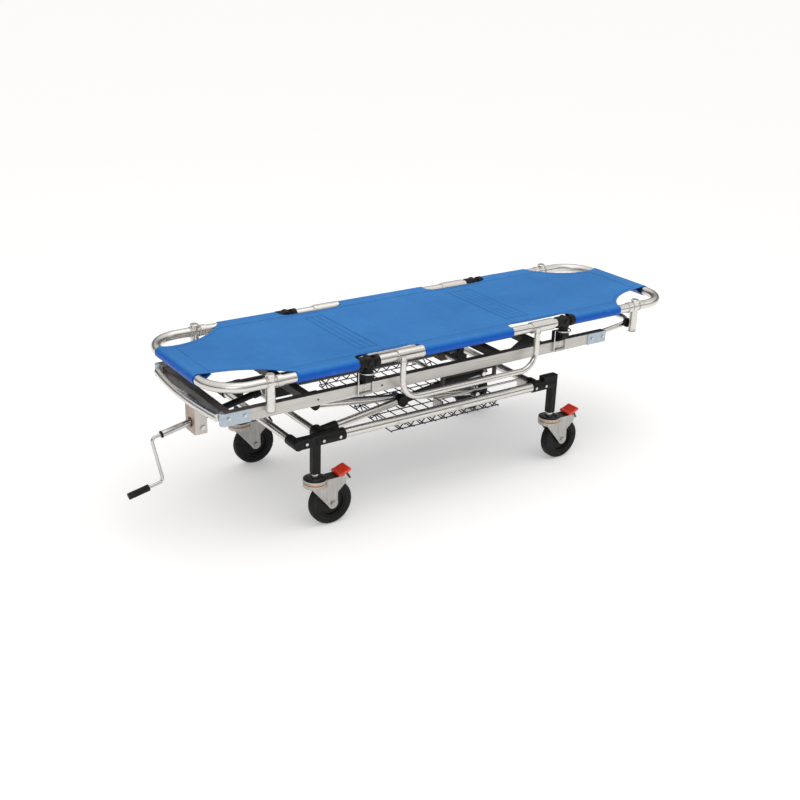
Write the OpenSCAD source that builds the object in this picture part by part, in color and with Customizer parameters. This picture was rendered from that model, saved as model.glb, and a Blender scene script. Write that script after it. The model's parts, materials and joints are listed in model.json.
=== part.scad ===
// Ambulance cot: a crank-raised scissor cart on four braked casters that carries a detachable
// three-section fabric litter. Millimetres, +Z up, +X towards the patient's head, -Y is the
// patient's left. The origin is on the floor, below the middle of the whole cot.

/* [Litter] */
// Overall length over the end loops
litter_len = 1896; // [1860:4:1940]
// Width between the side tube axes
litter_w = 524; // [520:2:530]
// Height of the side tube axis above the floor, cart lowered
litter_z = 528; // [524:1:534]
// Side tube diameter
litter_tube_d = 32; // [31:0.5:32]
// Distance from the litter's middle to each section hinge
hinge_x = 410; // [405:1:415]
// Distance from the litter's middle to the corner legs
leg_x = 756; // [750:1:765]
// Diameter of the corner legs
leg_d = 30; // [28:1:30]
// Fabric thickness
cloth_t = 2.5; // [2:0.5:3]
// How far each guard rail hangs below the side tube axis
guard_drop = 143; // [130:1:145]
// Guard rail tube diameter
guard_d = 20; // [18:1:20]

/* [Cart top] */
// Foot end of the side rails, measured from the litter's middle
rail_foot_x = -898; // [-902:1:-896]
// Head end of the side rails, measured from the litter's middle
rail_head_x = 635; // [630:1:640]
// Underside of the side rails
rail_z = 410; // [408:1:410]
// Height of the rail section
rail_h = 39; // [38:1:39]
// Width of the rail section
rail_w = 25; // [24:1:25]
// Radius of the spare accessory holes in each rail
spare_hole_r = 3.5; // [3:0.25:4]

/* [Scissor lift] */
// Fixed foot-end pivots, measured from the litter's middle
pivot_x = -560; // [-565:1:-555]
// Height of the lower pivots
lower_z = 300; // [299:1:301]
// Height of the upper pivots with the cart lowered
upper_z = 386; // [385:1:387]
// Horizontal distance from a pivot to the roller of the same arm, cart lowered
arm_run = 640; // [636:1:644]
// Lift arm tube diameter
arm_d = 25; // [23:1:25]

/* [Crank] */
// Slope of the crank axis
crank_tilt = 12; // [11:0.5:13]
// Throw of the crank
crank_throw = 157; // [150:1:160]
// Crank rod diameter
crank_rod_d = 11; // [10:0.5:11]

/* [Lower frame] */
// Lower side tube diameter
base_tube_d = 32; // [30:1:32]
// Height of the lower side tube axis
base_z = 303; // [302:1:304]
// Caster stem at the foot end, measured from the litter's middle
foot_stem_x = -600; // [-602:1:-598]
// Caster stem at the head end, measured from the litter's middle
head_stem_x = 380; // [378:1:382]

/* [Casters] */
// Wheel diameter
wheel_d = 150; // [146:1:150]
// Tyre width
tyre_w = 34; // [30:1:34]
// Distance the wheel trails behind the stem
trail = 55; // [50:1:58]

/* [Hidden] */
$fn = 48;

// Clearances: a running fit, a gap between touching pieces of one body, a free gap
run_gap = 0.05;
weld_gap = 0.02;
wall = 2;

// Litter
tube_r = litter_tube_d / 2;
side_y = litter_w / 2;
loop_x = litter_len / 2 - tube_r;
loop_bend = 115;
socket_gap = 25;
knuckle_r = 20;
cheek_r = 19;
cheek_t = 7;
tongue_half = 7;
pin_r = 5;
socket_len = 12;
foot_post_r = 17;
foot_flange_r = 22;
foot_flange_z = 484;
cloth_gap = 0.4;
cloth_split = 16;
roll_mid = [-198, 170];
roll_end = [450, 670];
bite_x = [[-450, -198], [170, 450]];
bite_y = 231;
bite_r = 30;
corner_bite = [900, 405];
corner_bite_r = 270;

// Guard rails
guard_x = [-290, 270];
guard_y = side_y + 23;
guard_bend = 65;
sleeve_wall = 4;
sleeve_x = [[-302, -201], [258, 355]];

// Cart top
rail_y = 245;
rail_in = rail_y - rail_w;
rail_top = rail_z + rail_h;
spare_x = [-580, -342];
member_x = [-878, -610, 150, 340];
member_w = 28;
member_h = 25;
plate_t = 3;
screw_r = 9;
thread_pitch = 8;
thread_depth = 1.4;
screw_end_x = 137;

// Scissor
arm_r = arm_d / 2;
arm_len = sqrt(pow(arm_run, 2) + pow(upper_z - lower_z, 2));
rest_angle = atan2(upper_z - lower_z, arm_run);
outer_y = 208;
inner_y = 180;
mid_pin_r = 6;
shaft_r = 8;
base_shaft_r = 11;
roller_r = 11;
roller_w = 16;
track_wire_r = 4;
track_gap = 0.1;
upper_track_y = 232;
lower_track_y = 204;
screw_z = upper_z;

// Crank
crank_pass = [-893, 334];
joint_run = (screw_z - crank_pass[1]) / tan(crank_tilt);
joint_x = crank_pass[0] + joint_run;
bracket_x = [-901, -859];
bracket_half = 34;
face_s = (joint_x - bracket_x[0]) / cos(crank_tilt);
sleeve_start = face_s - 13;
sleeve_end = face_s + 101;
crank_bend_s = face_s + 135;
grip_start = crank_bend_s + 50;
grip_len = 70;
grip_r = 11;

// Lower frame and casters
base_r = base_tube_d / 2;
cross_r = 13;
foot_cross_x = -667;
head_cross_x = 312;
post_w = 29;
post_z = 190;
head_top_z = 174;
dish_z = 168;
collar_gap = 0.3;
kingpin_r = 6;
kingpin_low = 152;
axle_z = wheel_d / 2;
stem_x = [foot_stem_x, head_stem_x];

// The origin sits under the middle of the overall length
x_low = joint_x - (grip_start + grip_len) * cos(crank_tilt)
        + crank_throw * sin(crank_tilt) - grip_r * sin(crank_tilt);
x_high = loop_x + tube_r + cloth_gap + cloth_t;
origin_dx = -(x_low + x_high) / 2;

// Placing helpers
module placed() { translate([origin_dx, 0, 0]) children(); }
module along_x(x, y, z) { translate([x, y, z]) rotate([0, 90, 0]) children(); }
module along_y(x, y, z) { translate([x, y, z]) rotate([-90, 0, 0]) children(); }
module both_sides() { for (m = [0, 1]) mirror([0, m, 0]) children(); }
module both_ends() { for (m = [0, 1]) mirror([m, 0, 0]) children(); }
module one_side(side) { mirror([0, side < 0 ? 1 : 0, 0]) children(); }
module block(low, high) { translate(low) cube(high - low); }

// Round tube along +Z, and a rod between two points of a plane at the given Y
module pipe(r, len, t = wall) {
  difference() {
    cylinder(r = r, h = len);
    translate([0, 0, -1]) cylinder(r = r - t, h = len + 2);
  }
}
module rod_xz(p, q, y, r) {
  d = q - p;
  translate([p[0], y, p[1]]) rotate([0, 90 - atan2(d[1], d[0]), 0]) cylinder(r = r, h = norm(d), $fn = 16);
}

// Tube bent along a flat path: straights joined by arcs of one radius; t = 0 makes it solid
function unit(v) = v / norm(v);
function turn_at(p, i) =
  let (u = unit(p[i] - p[i - 1]), v = unit(p[i + 1] - p[i])) atan2(u[0] * v[1] - u[1] * v[0], u * v);
function setback(p, i, bend) = (i == 0 || i == len(p) - 1) ? 0 : bend * tan(abs(turn_at(p, i)) / 2);
module tube_section(r, t) {
  difference() {
    circle(r);
    if (t > 0) circle(r - t);
  }
}
module bent_tube(p, r, bend, t = wall) {
  for (i = [0 : len(p) - 2]) {
    u = unit(p[i + 1] - p[i]);
    start = p[i] + u * setback(p, i, bend);
    stop = p[i + 1] - u * setback(p, i + 1, bend);
    translate([start[0], start[1], 0]) rotate([0, 90, atan2(u[1], u[0])])
      linear_extrude(norm(stop - start)) tube_section(r, t);
  }
  for (i = [1 : 1 : len(p) - 2]) {
    u = unit(p[i] - p[i - 1]);
    a = turn_at(p, i);
    side = sign(a);
    start = p[i] - u * setback(p, i, bend);
    centre = start + [-u[1], u[0]] * bend * side;
    from = start - centre;
    translate([centre[0], centre[1], 0]) rotate([0, 0, atan2(from[1], from[0]) + min(a, 0)])
      rotate_extrude(angle = abs(a)) translate([bend, 0]) tube_section(r, t);
  }
}

// ---- Litter ----
module litter_side_tubes() color("silver") placed() both_sides()
  along_x(socket_gap - hinge_x, side_y, litter_z) pipe(tube_r, 2 * (hinge_x - socket_gap));

// Half of a section hinge, drawn for a pin at the origin with its tube on the -X side
module knuckle_socket() {
  difference() {
    along_x(-socket_gap - socket_len, 0, 0) cylinder(r = knuckle_r, h = socket_len + 5);
    along_x(-socket_gap - socket_len - 1, 0, 0) cylinder(r = tube_r + run_gap, h = socket_len + 1 + weld_gap);
  }
}
module knuckle_cheeks() {
  for (y = [-tongue_half - 1 - cheek_t, tongue_half + 1]) difference() {
    union() {
      along_y(0, y, 0) cylinder(r = cheek_r, h = cheek_t);
      block([-socket_gap + 4, y, -15], [0, y + cheek_t, 15]);
    }
    along_y(0, y - 1, 0) cylinder(r = pin_r + run_gap, h = cheek_t + 2);
  }
}
module knuckle_tongue() {
  difference() {
    union() {
      along_y(0, -tongue_half, 0) cylinder(r = cheek_r - 0.5, h = 2 * tongue_half);
      block([-socket_gap + 4, -tongue_half, -14], [0, tongue_half, 14]);
    }
    along_y(0, -tongue_half - 1, 0) cylinder(r = pin_r + run_gap, h = 2 * tongue_half + 2);
  }
}
// Foot under the hinge: a waist for the latch bail and a flange that stands on the cart's rest
module knuckle_foot() {
  neck = litter_z - cheek_r - foot_flange_z;
  translate([0, 0, -cheek_r - neck]) {
    cylinder(r = foot_flange_r, h = 6);
    cylinder(r = foot_post_r, h = neck - 0.5);
  }
  for (y = [-tongue_half - 1 - cheek_t, tongue_half + 1])
    block([-12, y, -cheek_r - 2], [12, y + cheek_t, -cheek_r + 7]);
}
module at_hinges() {
  placed() both_ends() both_sides() translate([hinge_x, side_y, litter_z]) children();
}
module mid_knuckles() color("#1c1c1e") at_hinges() {
  knuckle_socket();
  knuckle_cheeks();
  knuckle_foot();
}
module hinge_pins() color("silver") at_hinges() {
  along_y(0, -17, 0) cylinder(r = pin_r, h = 34);
  for (y = [-19, 17]) along_y(0, y, 0) cylinder(r = 8, h = 2);
}
module end_knuckles(end) {
  placed() both_sides() translate([end * hinge_x, side_y, litter_z]) mirror([end > 0 ? 1 : 0, 0, 0]) {
    knuckle_socket();
    knuckle_tongue();
  }
}
module head_knuckles() color("#1c1c1e") end_knuckles(1);
module foot_knuckles() color("#1c1c1e") end_knuckles(-1);

// End loop with its two corner legs and their collars, drawn for the head end
module end_frame(end) {
  start = hinge_x + socket_gap;
  path = [[start, -side_y], [loop_x, -side_y], [loop_x, side_y], [start, side_y]];
  leg_low = litter_z - 91;
  leg_high = litter_z + 24;
  placed() mirror([end < 0 ? 1 : 0, 0, 0]) {
    translate([0, 0, litter_z]) bent_tube(path, tube_r, loop_bend);
    both_sides() {
      difference() {
        translate([leg_x, side_y, leg_low]) {
          pipe(leg_d / 2, leg_high - leg_low);
          translate([0, 0, leg_high - leg_low]) cylinder(r1 = leg_d / 2, r2 = leg_d / 2 - 3, h = 3);
        }
        along_x(leg_x - 30, side_y, litter_z) cylinder(r = tube_r + weld_gap, h = 60);
      }
      difference() {
        along_x(leg_x - 38, side_y, litter_z) cylinder(r = tube_r + 3, h = 18);
        along_x(leg_x - 40, side_y, litter_z) cylinder(r = tube_r + weld_gap, h = 22);
      }
    }
  }
}
module head_frame() color("silver") end_frame(1);
module foot_frame() color("silver") end_frame(-1);

// Cloth: a flat sheet across the tube tops, rolled over the tubes where it is sewn round them
module cloth_outline() {
  difference() {
    square([2 * loop_x, 2 * side_y], center = true);
    both_ends() both_sides() translate(corner_bite) circle(r = corner_bite_r, $fn = 96);
    both_sides() for (b = bite_x) {
      translate([b[0] + bite_r, bite_y]) square([b[1] - b[0] - 2 * bite_r, 60]);
      translate([b[0], bite_y + bite_r]) square([b[1] - b[0], 60]);
      for (x = [b[0] + bite_r, b[1] - bite_r]) translate([x, bite_y + bite_r]) circle(bite_r);
    }
  }
}
module cloth_sheet(x0, x1) {
  translate([0, 0, litter_z + tube_r + cloth_gap]) linear_extrude(cloth_t) intersection() {
    cloth_outline();
    translate([x0, -side_y]) square([x1 - x0, 2 * side_y]);
  }
}
// Half ring that wraps the outer side of a tube along +X at the given side
module cloth_roll(x0, x1) {
  r_in = tube_r + cloth_gap;
  both_sides() translate([x0, side_y, litter_z]) rotate([90, 0, 90]) linear_extrude(x1 - x0) {
    intersection() {
      difference() { circle(r_in + cloth_t); circle(r_in); }
      translate([0, -30]) square([30, 60]);
    }
  }
}
module cloth_end_roll() {
  r_in = tube_r + cloth_gap;
  half = 134;
  translate([loop_x, half, litter_z]) rotate([90, 0, 0]) linear_extrude(2 * half) {
    intersection() {
      difference() { circle(r_in + cloth_t); circle(r_in); }
      translate([0, -30]) square([30, 60]);
    }
  }
}
module fabric_mid() color("#3c7dc8") placed() {
  cloth_sheet(-hinge_x + cloth_split, hinge_x - cloth_split);
  cloth_roll(roll_mid[0], roll_mid[1]);
}
module fabric_end(end) {
  edge = [hinge_x + cloth_split, loop_x];
  placed() {
    if (end > 0) cloth_sheet(edge[0], edge[1]);
    else cloth_sheet(-edge[1], -edge[0]);
    mirror([end < 0 ? 1 : 0, 0, 0]) {
      cloth_roll(roll_end[0], roll_end[1]);
      cloth_end_roll();
    }
  }
}
module fabric_head() color("#3c7dc8") fabric_end(1);
module fabric_foot() color("#3c7dc8") fabric_end(-1);

// Guard rail: a U of tube hung from two sleeves that turn on the side tube
module guard_rail() {
  top = -30;
  path = [[guard_x[0], top], [guard_x[0], -guard_drop], [guard_x[1], -guard_drop], [guard_x[1], top]];
  placed() {
    translate([0, guard_y, litter_z]) rotate([90, 0, 0]) bent_tube(path, guard_d / 2, guard_bend);
    for (s = sleeve_x) difference() {
      along_x(s[0], side_y, litter_z) cylinder(r = tube_r + sleeve_wall, h = s[1] - s[0]);
      along_x(s[0] - 1, side_y, litter_z) cylinder(r = tube_r + run_gap, h = s[1] - s[0] + 2);
    }
    for (x = guard_x) difference() {
      translate([x, guard_y, litter_z + top]) cylinder(r = guard_d / 2, h = -top + 4);
      along_x(x - 30, side_y, litter_z) cylinder(r = tube_r + sleeve_wall - 1, h = 60);
    }
  }
}
module guard_rail_left() color("silver") mirror([0, 1, 0]) guard_rail();
module guard_rail_right() color("silver") guard_rail();

// ---- Litter latches: a wire bail that swings up round each hinge foot ----
bail_r = 2.5;
bail_half = 27;
bail_pivot = [rail_y + plate_t + 4.5, 418];
bail_top = 495;
eye_r = 5;
eye_half = 20;
module latch_bail(end, side) {
  reach = side_y - bail_pivot[0];
  rise = bail_top - bail_pivot[1];
  placed() translate([end * hinge_x, side * bail_pivot[0], bail_pivot[1]]) one_side(side) {
    for (s = [-1, 1]) {
      translate([s * bail_half, 0, 0]) {
        cylinder(r = bail_r, h = rise, $fn = 24);
        sphere(r = bail_r, $fn = 24);
        translate([0, 0, rise]) {
          sphere(r = bail_r, $fn = 24);
          along_y(0, 0, 0) cylinder(r = bail_r, h = reach, $fn = 24);
        }
      }
      along_x(s > 0 ? eye_half - 12 : -bail_half, 0, 0) cylinder(r = bail_r, h = bail_half - eye_half + 12, $fn = 24);
    }
    translate([0, reach, rise]) rotate_extrude(angle = 180) translate([bail_half, 0]) circle(bail_r, $fn = 24);
  }
}
module latch_bail_foot_left() color("silver") latch_bail(-1, -1);
module latch_bail_foot_right() color("silver") latch_bail(-1, 1);
module latch_bail_head_left() color("silver") latch_bail(1, -1);
module latch_bail_head_right() color("silver") latch_bail(1, 1);

// ---- Cart top ----
module top_rails() color("#b9b2a8") placed() both_sides() difference() {
  block([rail_foot_x, rail_in, rail_z], [rail_head_x, rail_y, rail_top]);
  block([rail_foot_x - 1, rail_in + wall, rail_z + wall], [rail_head_x + 1, rail_y - wall, rail_top - wall]);
  for (x = spare_x) along_y(x, rail_in - 1, rail_z + rail_h / 2) cylinder(r = spare_hole_r, h = rail_w + 2);
}
module rail_plates() color("#a9b6c2") placed() {
  both_sides() for (x = [[rail_foot_x - 2, rail_foot_x + 84], [rail_head_x - 85, rail_head_x + 2]])
    block([x[0], rail_y, rail_z - 1], [x[1], rail_y + plate_t, rail_top + 1]);
  // Rounded plug that closes the foot end of each rail
  both_sides() translate([rail_foot_x - weld_gap, rail_in + rail_w / 2 + 1.5, rail_z - 1]) intersection() {
    cylinder(r = rail_w / 2 + 1.5, h = rail_h + 2);
    translate([-rail_w, -rail_w, -1]) cube([rail_w, 2 * rail_w, rail_h + 4]);
  }
  both_ends() both_sides() difference() {
    union() {
      block([hinge_x - 30, rail_y, rail_z + 2], [hinge_x + 30, rail_y + plate_t, rail_top]);
      along_x(hinge_x - eye_half, bail_pivot[0], bail_pivot[1]) cylinder(r = eye_r, h = 2 * eye_half);
    }
    along_x(hinge_x - eye_half - 1, bail_pivot[0], bail_pivot[1])
      cylinder(r = bail_r + run_gap, h = 2 * eye_half + 2);
  }
}
plate_bolts = [[-887, 432], [-834, 432], [571, 430], [622, 430]];
module bolt_head(x, z, y, r = 6) {
  along_y(x, y, z) cylinder(r = r, h = 4, $fn = 6);
}
module rail_bolts() color("#c8ccd0") placed() {
  both_sides() {
    for (b = plate_bolts) bolt_head(b[0], b[1], rail_y + plate_t);
    for (end = [-1, 1], z = [rail_top - 6, rail_z + 19])
      along_y(end * hinge_x, rail_y + plate_t, z) cylinder(r = 3.5, h = 2);
    bolt_head(bracket_x[1] - 14, 318, bracket_half, 9);
  }
}
module top_cross_members() color("#6e6a66") placed() {
  for (i = [0 : 3]) {
    x = member_x[i];
    low = i == 0 ? rail_z + 2 : rail_top - member_h;
    high = i == 0 ? rail_top - 8 : rail_top;
    difference() {
      block([x - member_w / 2, -rail_in, low], [x + member_w / 2, rail_in, high]);
      block([x - member_w / 2 + wall, -rail_in - 1, low + wall],
            [x + member_w / 2 - wall, rail_in + 1, high - wall]);
    }
  }
  both_sides() translate([0, 0, rail_top - 5]) linear_extrude(5)
    polygon([[member_x[3] - member_w / 2, rail_in], [member_x[3] - member_w / 2, rail_in - 70],
             [member_x[3] - 130, rail_in]]);
}
// The foot bow is one shallow arc across the rail ends
foot_bow_r = 12.5;
foot_bow_rise = 17;
foot_bow_half = rail_y - 31;
module foot_bow() color("silver") placed() {
  bend = (pow(foot_bow_half, 2) + pow(foot_bow_rise, 2)) / (2 * foot_bow_rise);
  half_angle = asin(foot_bow_half / bend);
  end_x = rail_foot_x - foot_bow_r - 0.5;
  translate([end_x - foot_bow_rise + bend, 0, rail_z + 20]) rotate([0, 0, 180 - half_angle])
    rotate_extrude(angle = 2 * half_angle, $fn = 360) translate([bend, 0]) tube_section(foot_bow_r, wall);
}
// The head bow leaves the rail ends, climbs outwards and crosses under the litter
head_bow_r = 9;
head_bow_x = 790;
head_bow_y = 228;
head_bow_slope = 7;
module head_bow() color("silver") placed() {
  run = (head_bow_x - rail_head_x) / cos(head_bow_slope);
  translate([rail_head_x, 0, rail_top - 10]) rotate([0, -head_bow_slope, 0])
    bent_tube([[2, -head_bow_y], [run, -head_bow_y], [run, head_bow_y], [2, head_bow_y]], head_bow_r, 60);
}
rest_w = 30;
module litter_rests() color("#1c1c1e") placed() {
  // One rest under each hinge foot
  both_ends() both_sides() translate([hinge_x + rest_w / 2, 0, 0]) rotate([90, 0, -90]) linear_extrude(rest_w)
    polygon([[-rail_in - 2, rail_top], [-rail_y, rail_top], [-side_y - 16, rail_top + 17],
             [-side_y - 16, foot_flange_z - 0.5], [-rail_in - 2, foot_flange_z - 0.5]]);
  // Round bumpers between the head bow and the litter legs
  bumper_y = head_bow_y + head_bow_r + weld_gap;
  both_sides() along_y(leg_x - 8, bumper_y, rail_top + 12)
    cylinder(r = 17, h = side_y - leg_d / 2 - 0.6 - bumper_y);
}

// ---- Crank and lead screw ----
// Local +Z runs down the crank axis towards the foot end, local -X is the throw at rest
module on_crank_axis() {
  translate([joint_x, 0, screw_z]) rotate([0, -(90 + crank_tilt), 0]) children();
}
shaft_out_r = 11;
module crank_bracket() color("#b5b0a6") placed() difference() {
  block([bracket_x[0], -bracket_half, 298], [bracket_x[1], bracket_half, rail_z + 2]);
  on_crank_axis() cylinder(r = shaft_out_r + run_gap, h = face_s + 30);
  on_crank_axis() translate([0, 0, face_s - 14]) cylinder(r = 17, h = 40);
}
module crank_rod() color("silver") placed() on_crank_axis() {
  translate([0, 0, sleeve_start]) cylinder(r = 10.5, h = sleeve_end - sleeve_start);
  rotate([90, 0, 0])
    bent_tube([[0, sleeve_end - 5], [0, crank_bend_s], [-crank_throw, crank_bend_s],
               [-crank_throw, grip_start + grip_len - 4]], crank_rod_d / 2, 14, 0);
}
module crank_grip() color("#1c1c1e") placed() on_crank_axis() translate([-crank_throw, 0, grip_start])
  difference() {
    cylinder(r = grip_r, h = grip_len);
    translate([0, 0, -1]) cylinder(r = crank_rod_d / 2 + run_gap, h = grip_len - 2.5);
  }
module drive_shaft() color("#1c1c1e") placed() on_crank_axis() {
  translate([0, 0, 8]) cylinder(r = shaft_out_r, h = sleeve_start - 8 - weld_gap);
  translate([0, 0, 8]) cylinder(r = 15, h = 22);
}
screw_hub_end = -622;
bearing_x = [-622, -535];
end_bearing_x = [140, 160];
thread_x0 = bearing_x[1] + 8;
thread_x1 = screw_end_x - 4;
thread_count = floor((thread_x1 - thread_x0) / thread_pitch);
function thread_profile() = [
  for (i = [0 : thread_count - 1], k = [0 : 3])
    [screw_r - (k == 1 || k == 2 ? thread_depth : 0),
     thread_x0 + thread_pitch * (i + [0, 0.25, 0.5, 0.75][k])]
];
module lead_screw() color("#4a4a4c") placed() {
  along_x(0, 0, screw_z) rotate_extrude()
    polygon(concat([[0, bearing_x[0] - 1], [screw_r, bearing_x[0] - 1]], thread_profile(),
                   [[screw_r, thread_x1], [screw_r, end_bearing_x[1]], [0, end_bearing_x[1]]]));
  along_x(joint_x + 8, 0, screw_z) cylinder(r = 14, h = bearing_x[0] - 1 - joint_x - 8);
}
module lift_brackets() color("#1c1c1e") placed() {
  // Screw bearings hung from the cross members
  for (b = [bearing_x, end_bearing_x]) difference() {
    block([b[0], -24, screw_z - 24], [b[1], 24, rail_top - member_h]);
    along_x(b[0] - 1, 0, screw_z) cylinder(r = screw_r + run_gap, h = b[1] - b[0] + 2);
  }
  // Cheeks and pins of the upper pivots
  both_sides() {
    for (y = [inner_y - arm_r - 6, inner_y + arm_r + 2])
      translate([0, y + 4, 0]) rotate([90, 0, 0]) linear_extrude(4) difference() {
        union() {
          polygon([[member_x[1] - 16, rail_top - member_h], [pivot_x - 14, upper_z - 6],
                   [pivot_x + 14, upper_z - 6], [pivot_x + 22, rail_top - member_h]]);
          translate([pivot_x, upper_z]) circle(15);
        }
        translate([pivot_x, upper_z]) circle(mid_pin_r);
      }
    along_y(pivot_x, inner_y - arm_r - 9, upper_z) cylinder(r = mid_pin_r, h = 2 * arm_r + 18);
  }
}
// A pair of round guide bars that hold a roller between them, with a hanger at each end
module guide_bars(x0, x1, y, z, hanger_low, hanger_high, hanger_y) {
  reach = roller_r + track_gap + track_wire_r;
  for (s = [-1, 1]) along_x(x0, y, z + s * reach) cylinder(r = track_wire_r, h = x1 - x0, $fn = 24);
  for (x = [x0 - 4, x1 - 4]) block([x, hanger_y[0], hanger_low], [x + 8, hanger_y[1], hanger_high]);
}
module upper_tracks() color("#6e6a66") placed() both_sides()
  guide_bars(-90, 132, upper_track_y, screw_z, screw_z - 21, rail_z, [upper_track_y - 7, upper_track_y + 7]);

// ---- Screw nut and yoke ----
nut_x = pivot_x + arm_run;
nut_half = 22;
module screw_nut() color("#c9a24a") placed() difference() {
  block([nut_x - 20, -nut_half, screw_z - nut_half], [nut_x + 20, nut_half, screw_z + nut_half]);
  along_x(nut_x - 21, 0, screw_z) cylinder(r = screw_r + run_gap, h = 42);
}
module yoke_beam() color("silver") placed() both_sides() {
  along_y(nut_x, nut_half, screw_z) cylinder(r = 11, h = outer_y - 12 - nut_half);
  along_y(nut_x, outer_y - 13, screw_z) cylinder(r = shaft_r, h = upper_track_y + roller_w / 2 + 3 - outer_y + 13);
}
module roller(x, y, z) {
  along_y(x, y - roller_w / 2, z) difference() {
    cylinder(r = roller_r, h = roller_w);
    translate([0, 0, -1]) cylinder(r = shaft_r + run_gap, h = roller_w + 2);
  }
}
module upper_rollers() color("#1c1c1e") placed() both_sides() roller(nut_x, upper_track_y, screw_z);

// ---- Lift arms ----
mid_x = pivot_x + arm_run / 2;
mid_z = (upper_z + lower_z) / 2;
module outer_arm_frame() { translate([pivot_x, outer_y, lower_z]) rotate([0, -rest_angle, 0]) children(); }
module inner_arm_frame() { translate([pivot_x, inner_y, upper_z]) rotate([0, rest_angle, 0]) children(); }
module outer_lift_arms() color("silver") placed() both_sides() outer_arm_frame()
  along_x(30, 0, 0) pipe(arm_r, arm_len / 2 - 30 - 20);
module outer_arm_fittings() color("#1c1c1e") placed() both_sides() {
  difference() {
    union() {
      along_y(pivot_x, outer_y - 14, lower_z) cylinder(r = 22, h = 42);
      outer_arm_frame() along_x(5, 0, 0) cylinder(r = arm_r + 4, h = 65);
    }
    along_y(pivot_x, outer_y - 20, lower_z) cylinder(r = base_shaft_r + run_gap, h = 60);
    outer_arm_frame() along_x(30 - weld_gap, 0, 0) cylinder(r = arm_r + weld_gap, h = 60);
  }
  // Centre hub with its pin, and the flat bar that runs on to the yoke
  along_y(mid_x, outer_y - 12, mid_z) cylinder(r = 19, h = 28);
  along_y(mid_x, inner_y - arm_r - 2, mid_z) cylinder(r = mid_pin_r, h = outer_y - inner_y + arm_r);
  difference() {
    outer_arm_frame() {
      block([arm_len / 2, -4, -14], [arm_len, 4, 14]);
      along_y(arm_len, -4, 0) cylinder(r = 16, h = 8);
    }
    outer_arm_frame() along_y(arm_len, -5, 0) cylinder(r = shaft_r + run_gap, h = 10);
  }
}
// Eyes of an inner arm: distance along the arm, outer radius, bore radius
inner_eyes = [[0, 14, mid_pin_r], [arm_len / 2, 17, mid_pin_r], [arm_len, 14, shaft_r]];
module inner_lift_arms() color("silver") placed() both_sides() inner_arm_frame() {
  for (e = inner_eyes) along_y(e[0], -arm_r, 0) difference() {
    cylinder(r = e[1], h = arm_d);
    translate([0, 0, -1]) cylinder(r = e[2] + run_gap, h = arm_d + 2);
  }
  difference() {
    along_x(0, 0, 0) pipe(arm_r, arm_len);
    for (e = inner_eyes) along_y(e[0], -arm_r - 1, 0) cylinder(r = e[1] + weld_gap, h = arm_d + 2);
  }
}
module lower_roller_shaft() color("silver") placed()
  along_y(nut_x, -lower_track_y - roller_w / 2 - 3, lower_z)
    cylinder(r = shaft_r, h = 2 * lower_track_y + roller_w + 6);
module lower_rollers() color("#1c1c1e") placed() both_sides() roller(nut_x, lower_track_y, lower_z);

// ---- Lower frame ----
module base_side_tubes() color("silver") placed() both_sides()
  along_x(foot_stem_x + 42, side_y, base_z) pipe(base_r, head_stem_x - foot_stem_x - 84);
module base_cross_tubes() color("silver") placed() {
  for (x = [foot_cross_x, head_cross_x]) along_y(x, -side_y + 19, base_z) pipe(cross_r, 2 * side_y - 38);
  along_y(pivot_x, -side_y + 22, lower_z) cylinder(r = base_shaft_r, h = 2 * side_y - 44);
}
module rounded_post(low, high) {
  r = 6;
  w = post_w;
  translate([0, 0, low]) linear_extrude(high - low) {
    square([w - 2 * r, w], center = true);
    square([w, w - 2 * r], center = true);
    for (x = [-1, 1], y = [-1, 1]) translate([x, y] * (w / 2 - r)) circle(r);
  }
}
module cross_socket(x, reach) {
  along_y(x, side_y - 46, base_z) cylinder(r = cross_r + 4, h = reach);
}
module corner_castings() color("#1c1c1e") placed() both_sides() difference() {
  union() {
    // Foot end: the cross tube's socket stands outboard of the post
    translate([foot_stem_x, side_y, 0]) rounded_post(post_z, base_z + 18);
    along_x(foot_stem_x, side_y, base_z) cylinder(r = base_r + 4, h = 104);
    block([foot_cross_x, side_y - 14, base_z - 16], [foot_stem_x, side_y + 14, base_z + 16]);
    cross_socket(foot_cross_x, 62);
    // Head end: the cross tube's socket branches from the side tube's grip
    translate([head_stem_x, side_y, 0]) rounded_post(post_z, base_z + 31);
    along_x(head_cross_x - 29, side_y, base_z) cylinder(r = base_r + 4, h = head_stem_x - head_cross_x + 29);
    block([head_stem_x - 50, side_y - 15, base_z - 4], [head_stem_x, side_y + 15, base_z + 31]);
    cross_socket(head_cross_x, 40);
  }
  along_x(foot_stem_x + 42 - weld_gap, side_y, base_z)
    cylinder(r = base_r + weld_gap, h = head_stem_x - foot_stem_x - 84 + 2 * weld_gap);
  for (x = [foot_cross_x, head_cross_x])
    along_y(x, 0, base_z) cylinder(r = cross_r + weld_gap, h = side_y - 19 + weld_gap);
}
casting_bolts = [[-639, 278], [-580, 282], [-519, 282], [290, 282], [335, 282]];
module base_fasteners() color("#c8ccd0") placed() both_sides() {
  for (b = casting_bolts)
    along_y(b[0], b[1] - 6, base_z) cylinder(r = 5.5, h = 8, $fn = 6);
  // Kingpins: the bare shoulder under each casting and the pin through the swivel head
  for (x = stem_x) translate([x, side_y, 0]) {
    translate([0, 0, dish_z + collar_gap]) cylinder(r = 12, h = post_z - dish_z - collar_gap - weld_gap);
    translate([0, 0, kingpin_low]) cylinder(r = kingpin_r, h = dish_z - kingpin_low + 1);
  }
}
basket_x = [-290, 160];
basket_y = 234;
basket_z = [253, 274];
mesh_pitch = 45;
wire_r = 2;
wire_gap = 2 * wire_r + weld_gap;
module basket_line(p, q) {
  d = q - p;
  translate(p) rotate([0, acos(d[2] / norm(d)), atan2(d[1], d[0])]) cylinder(r = wire_r, h = norm(d), $fn = 16);
}
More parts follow.
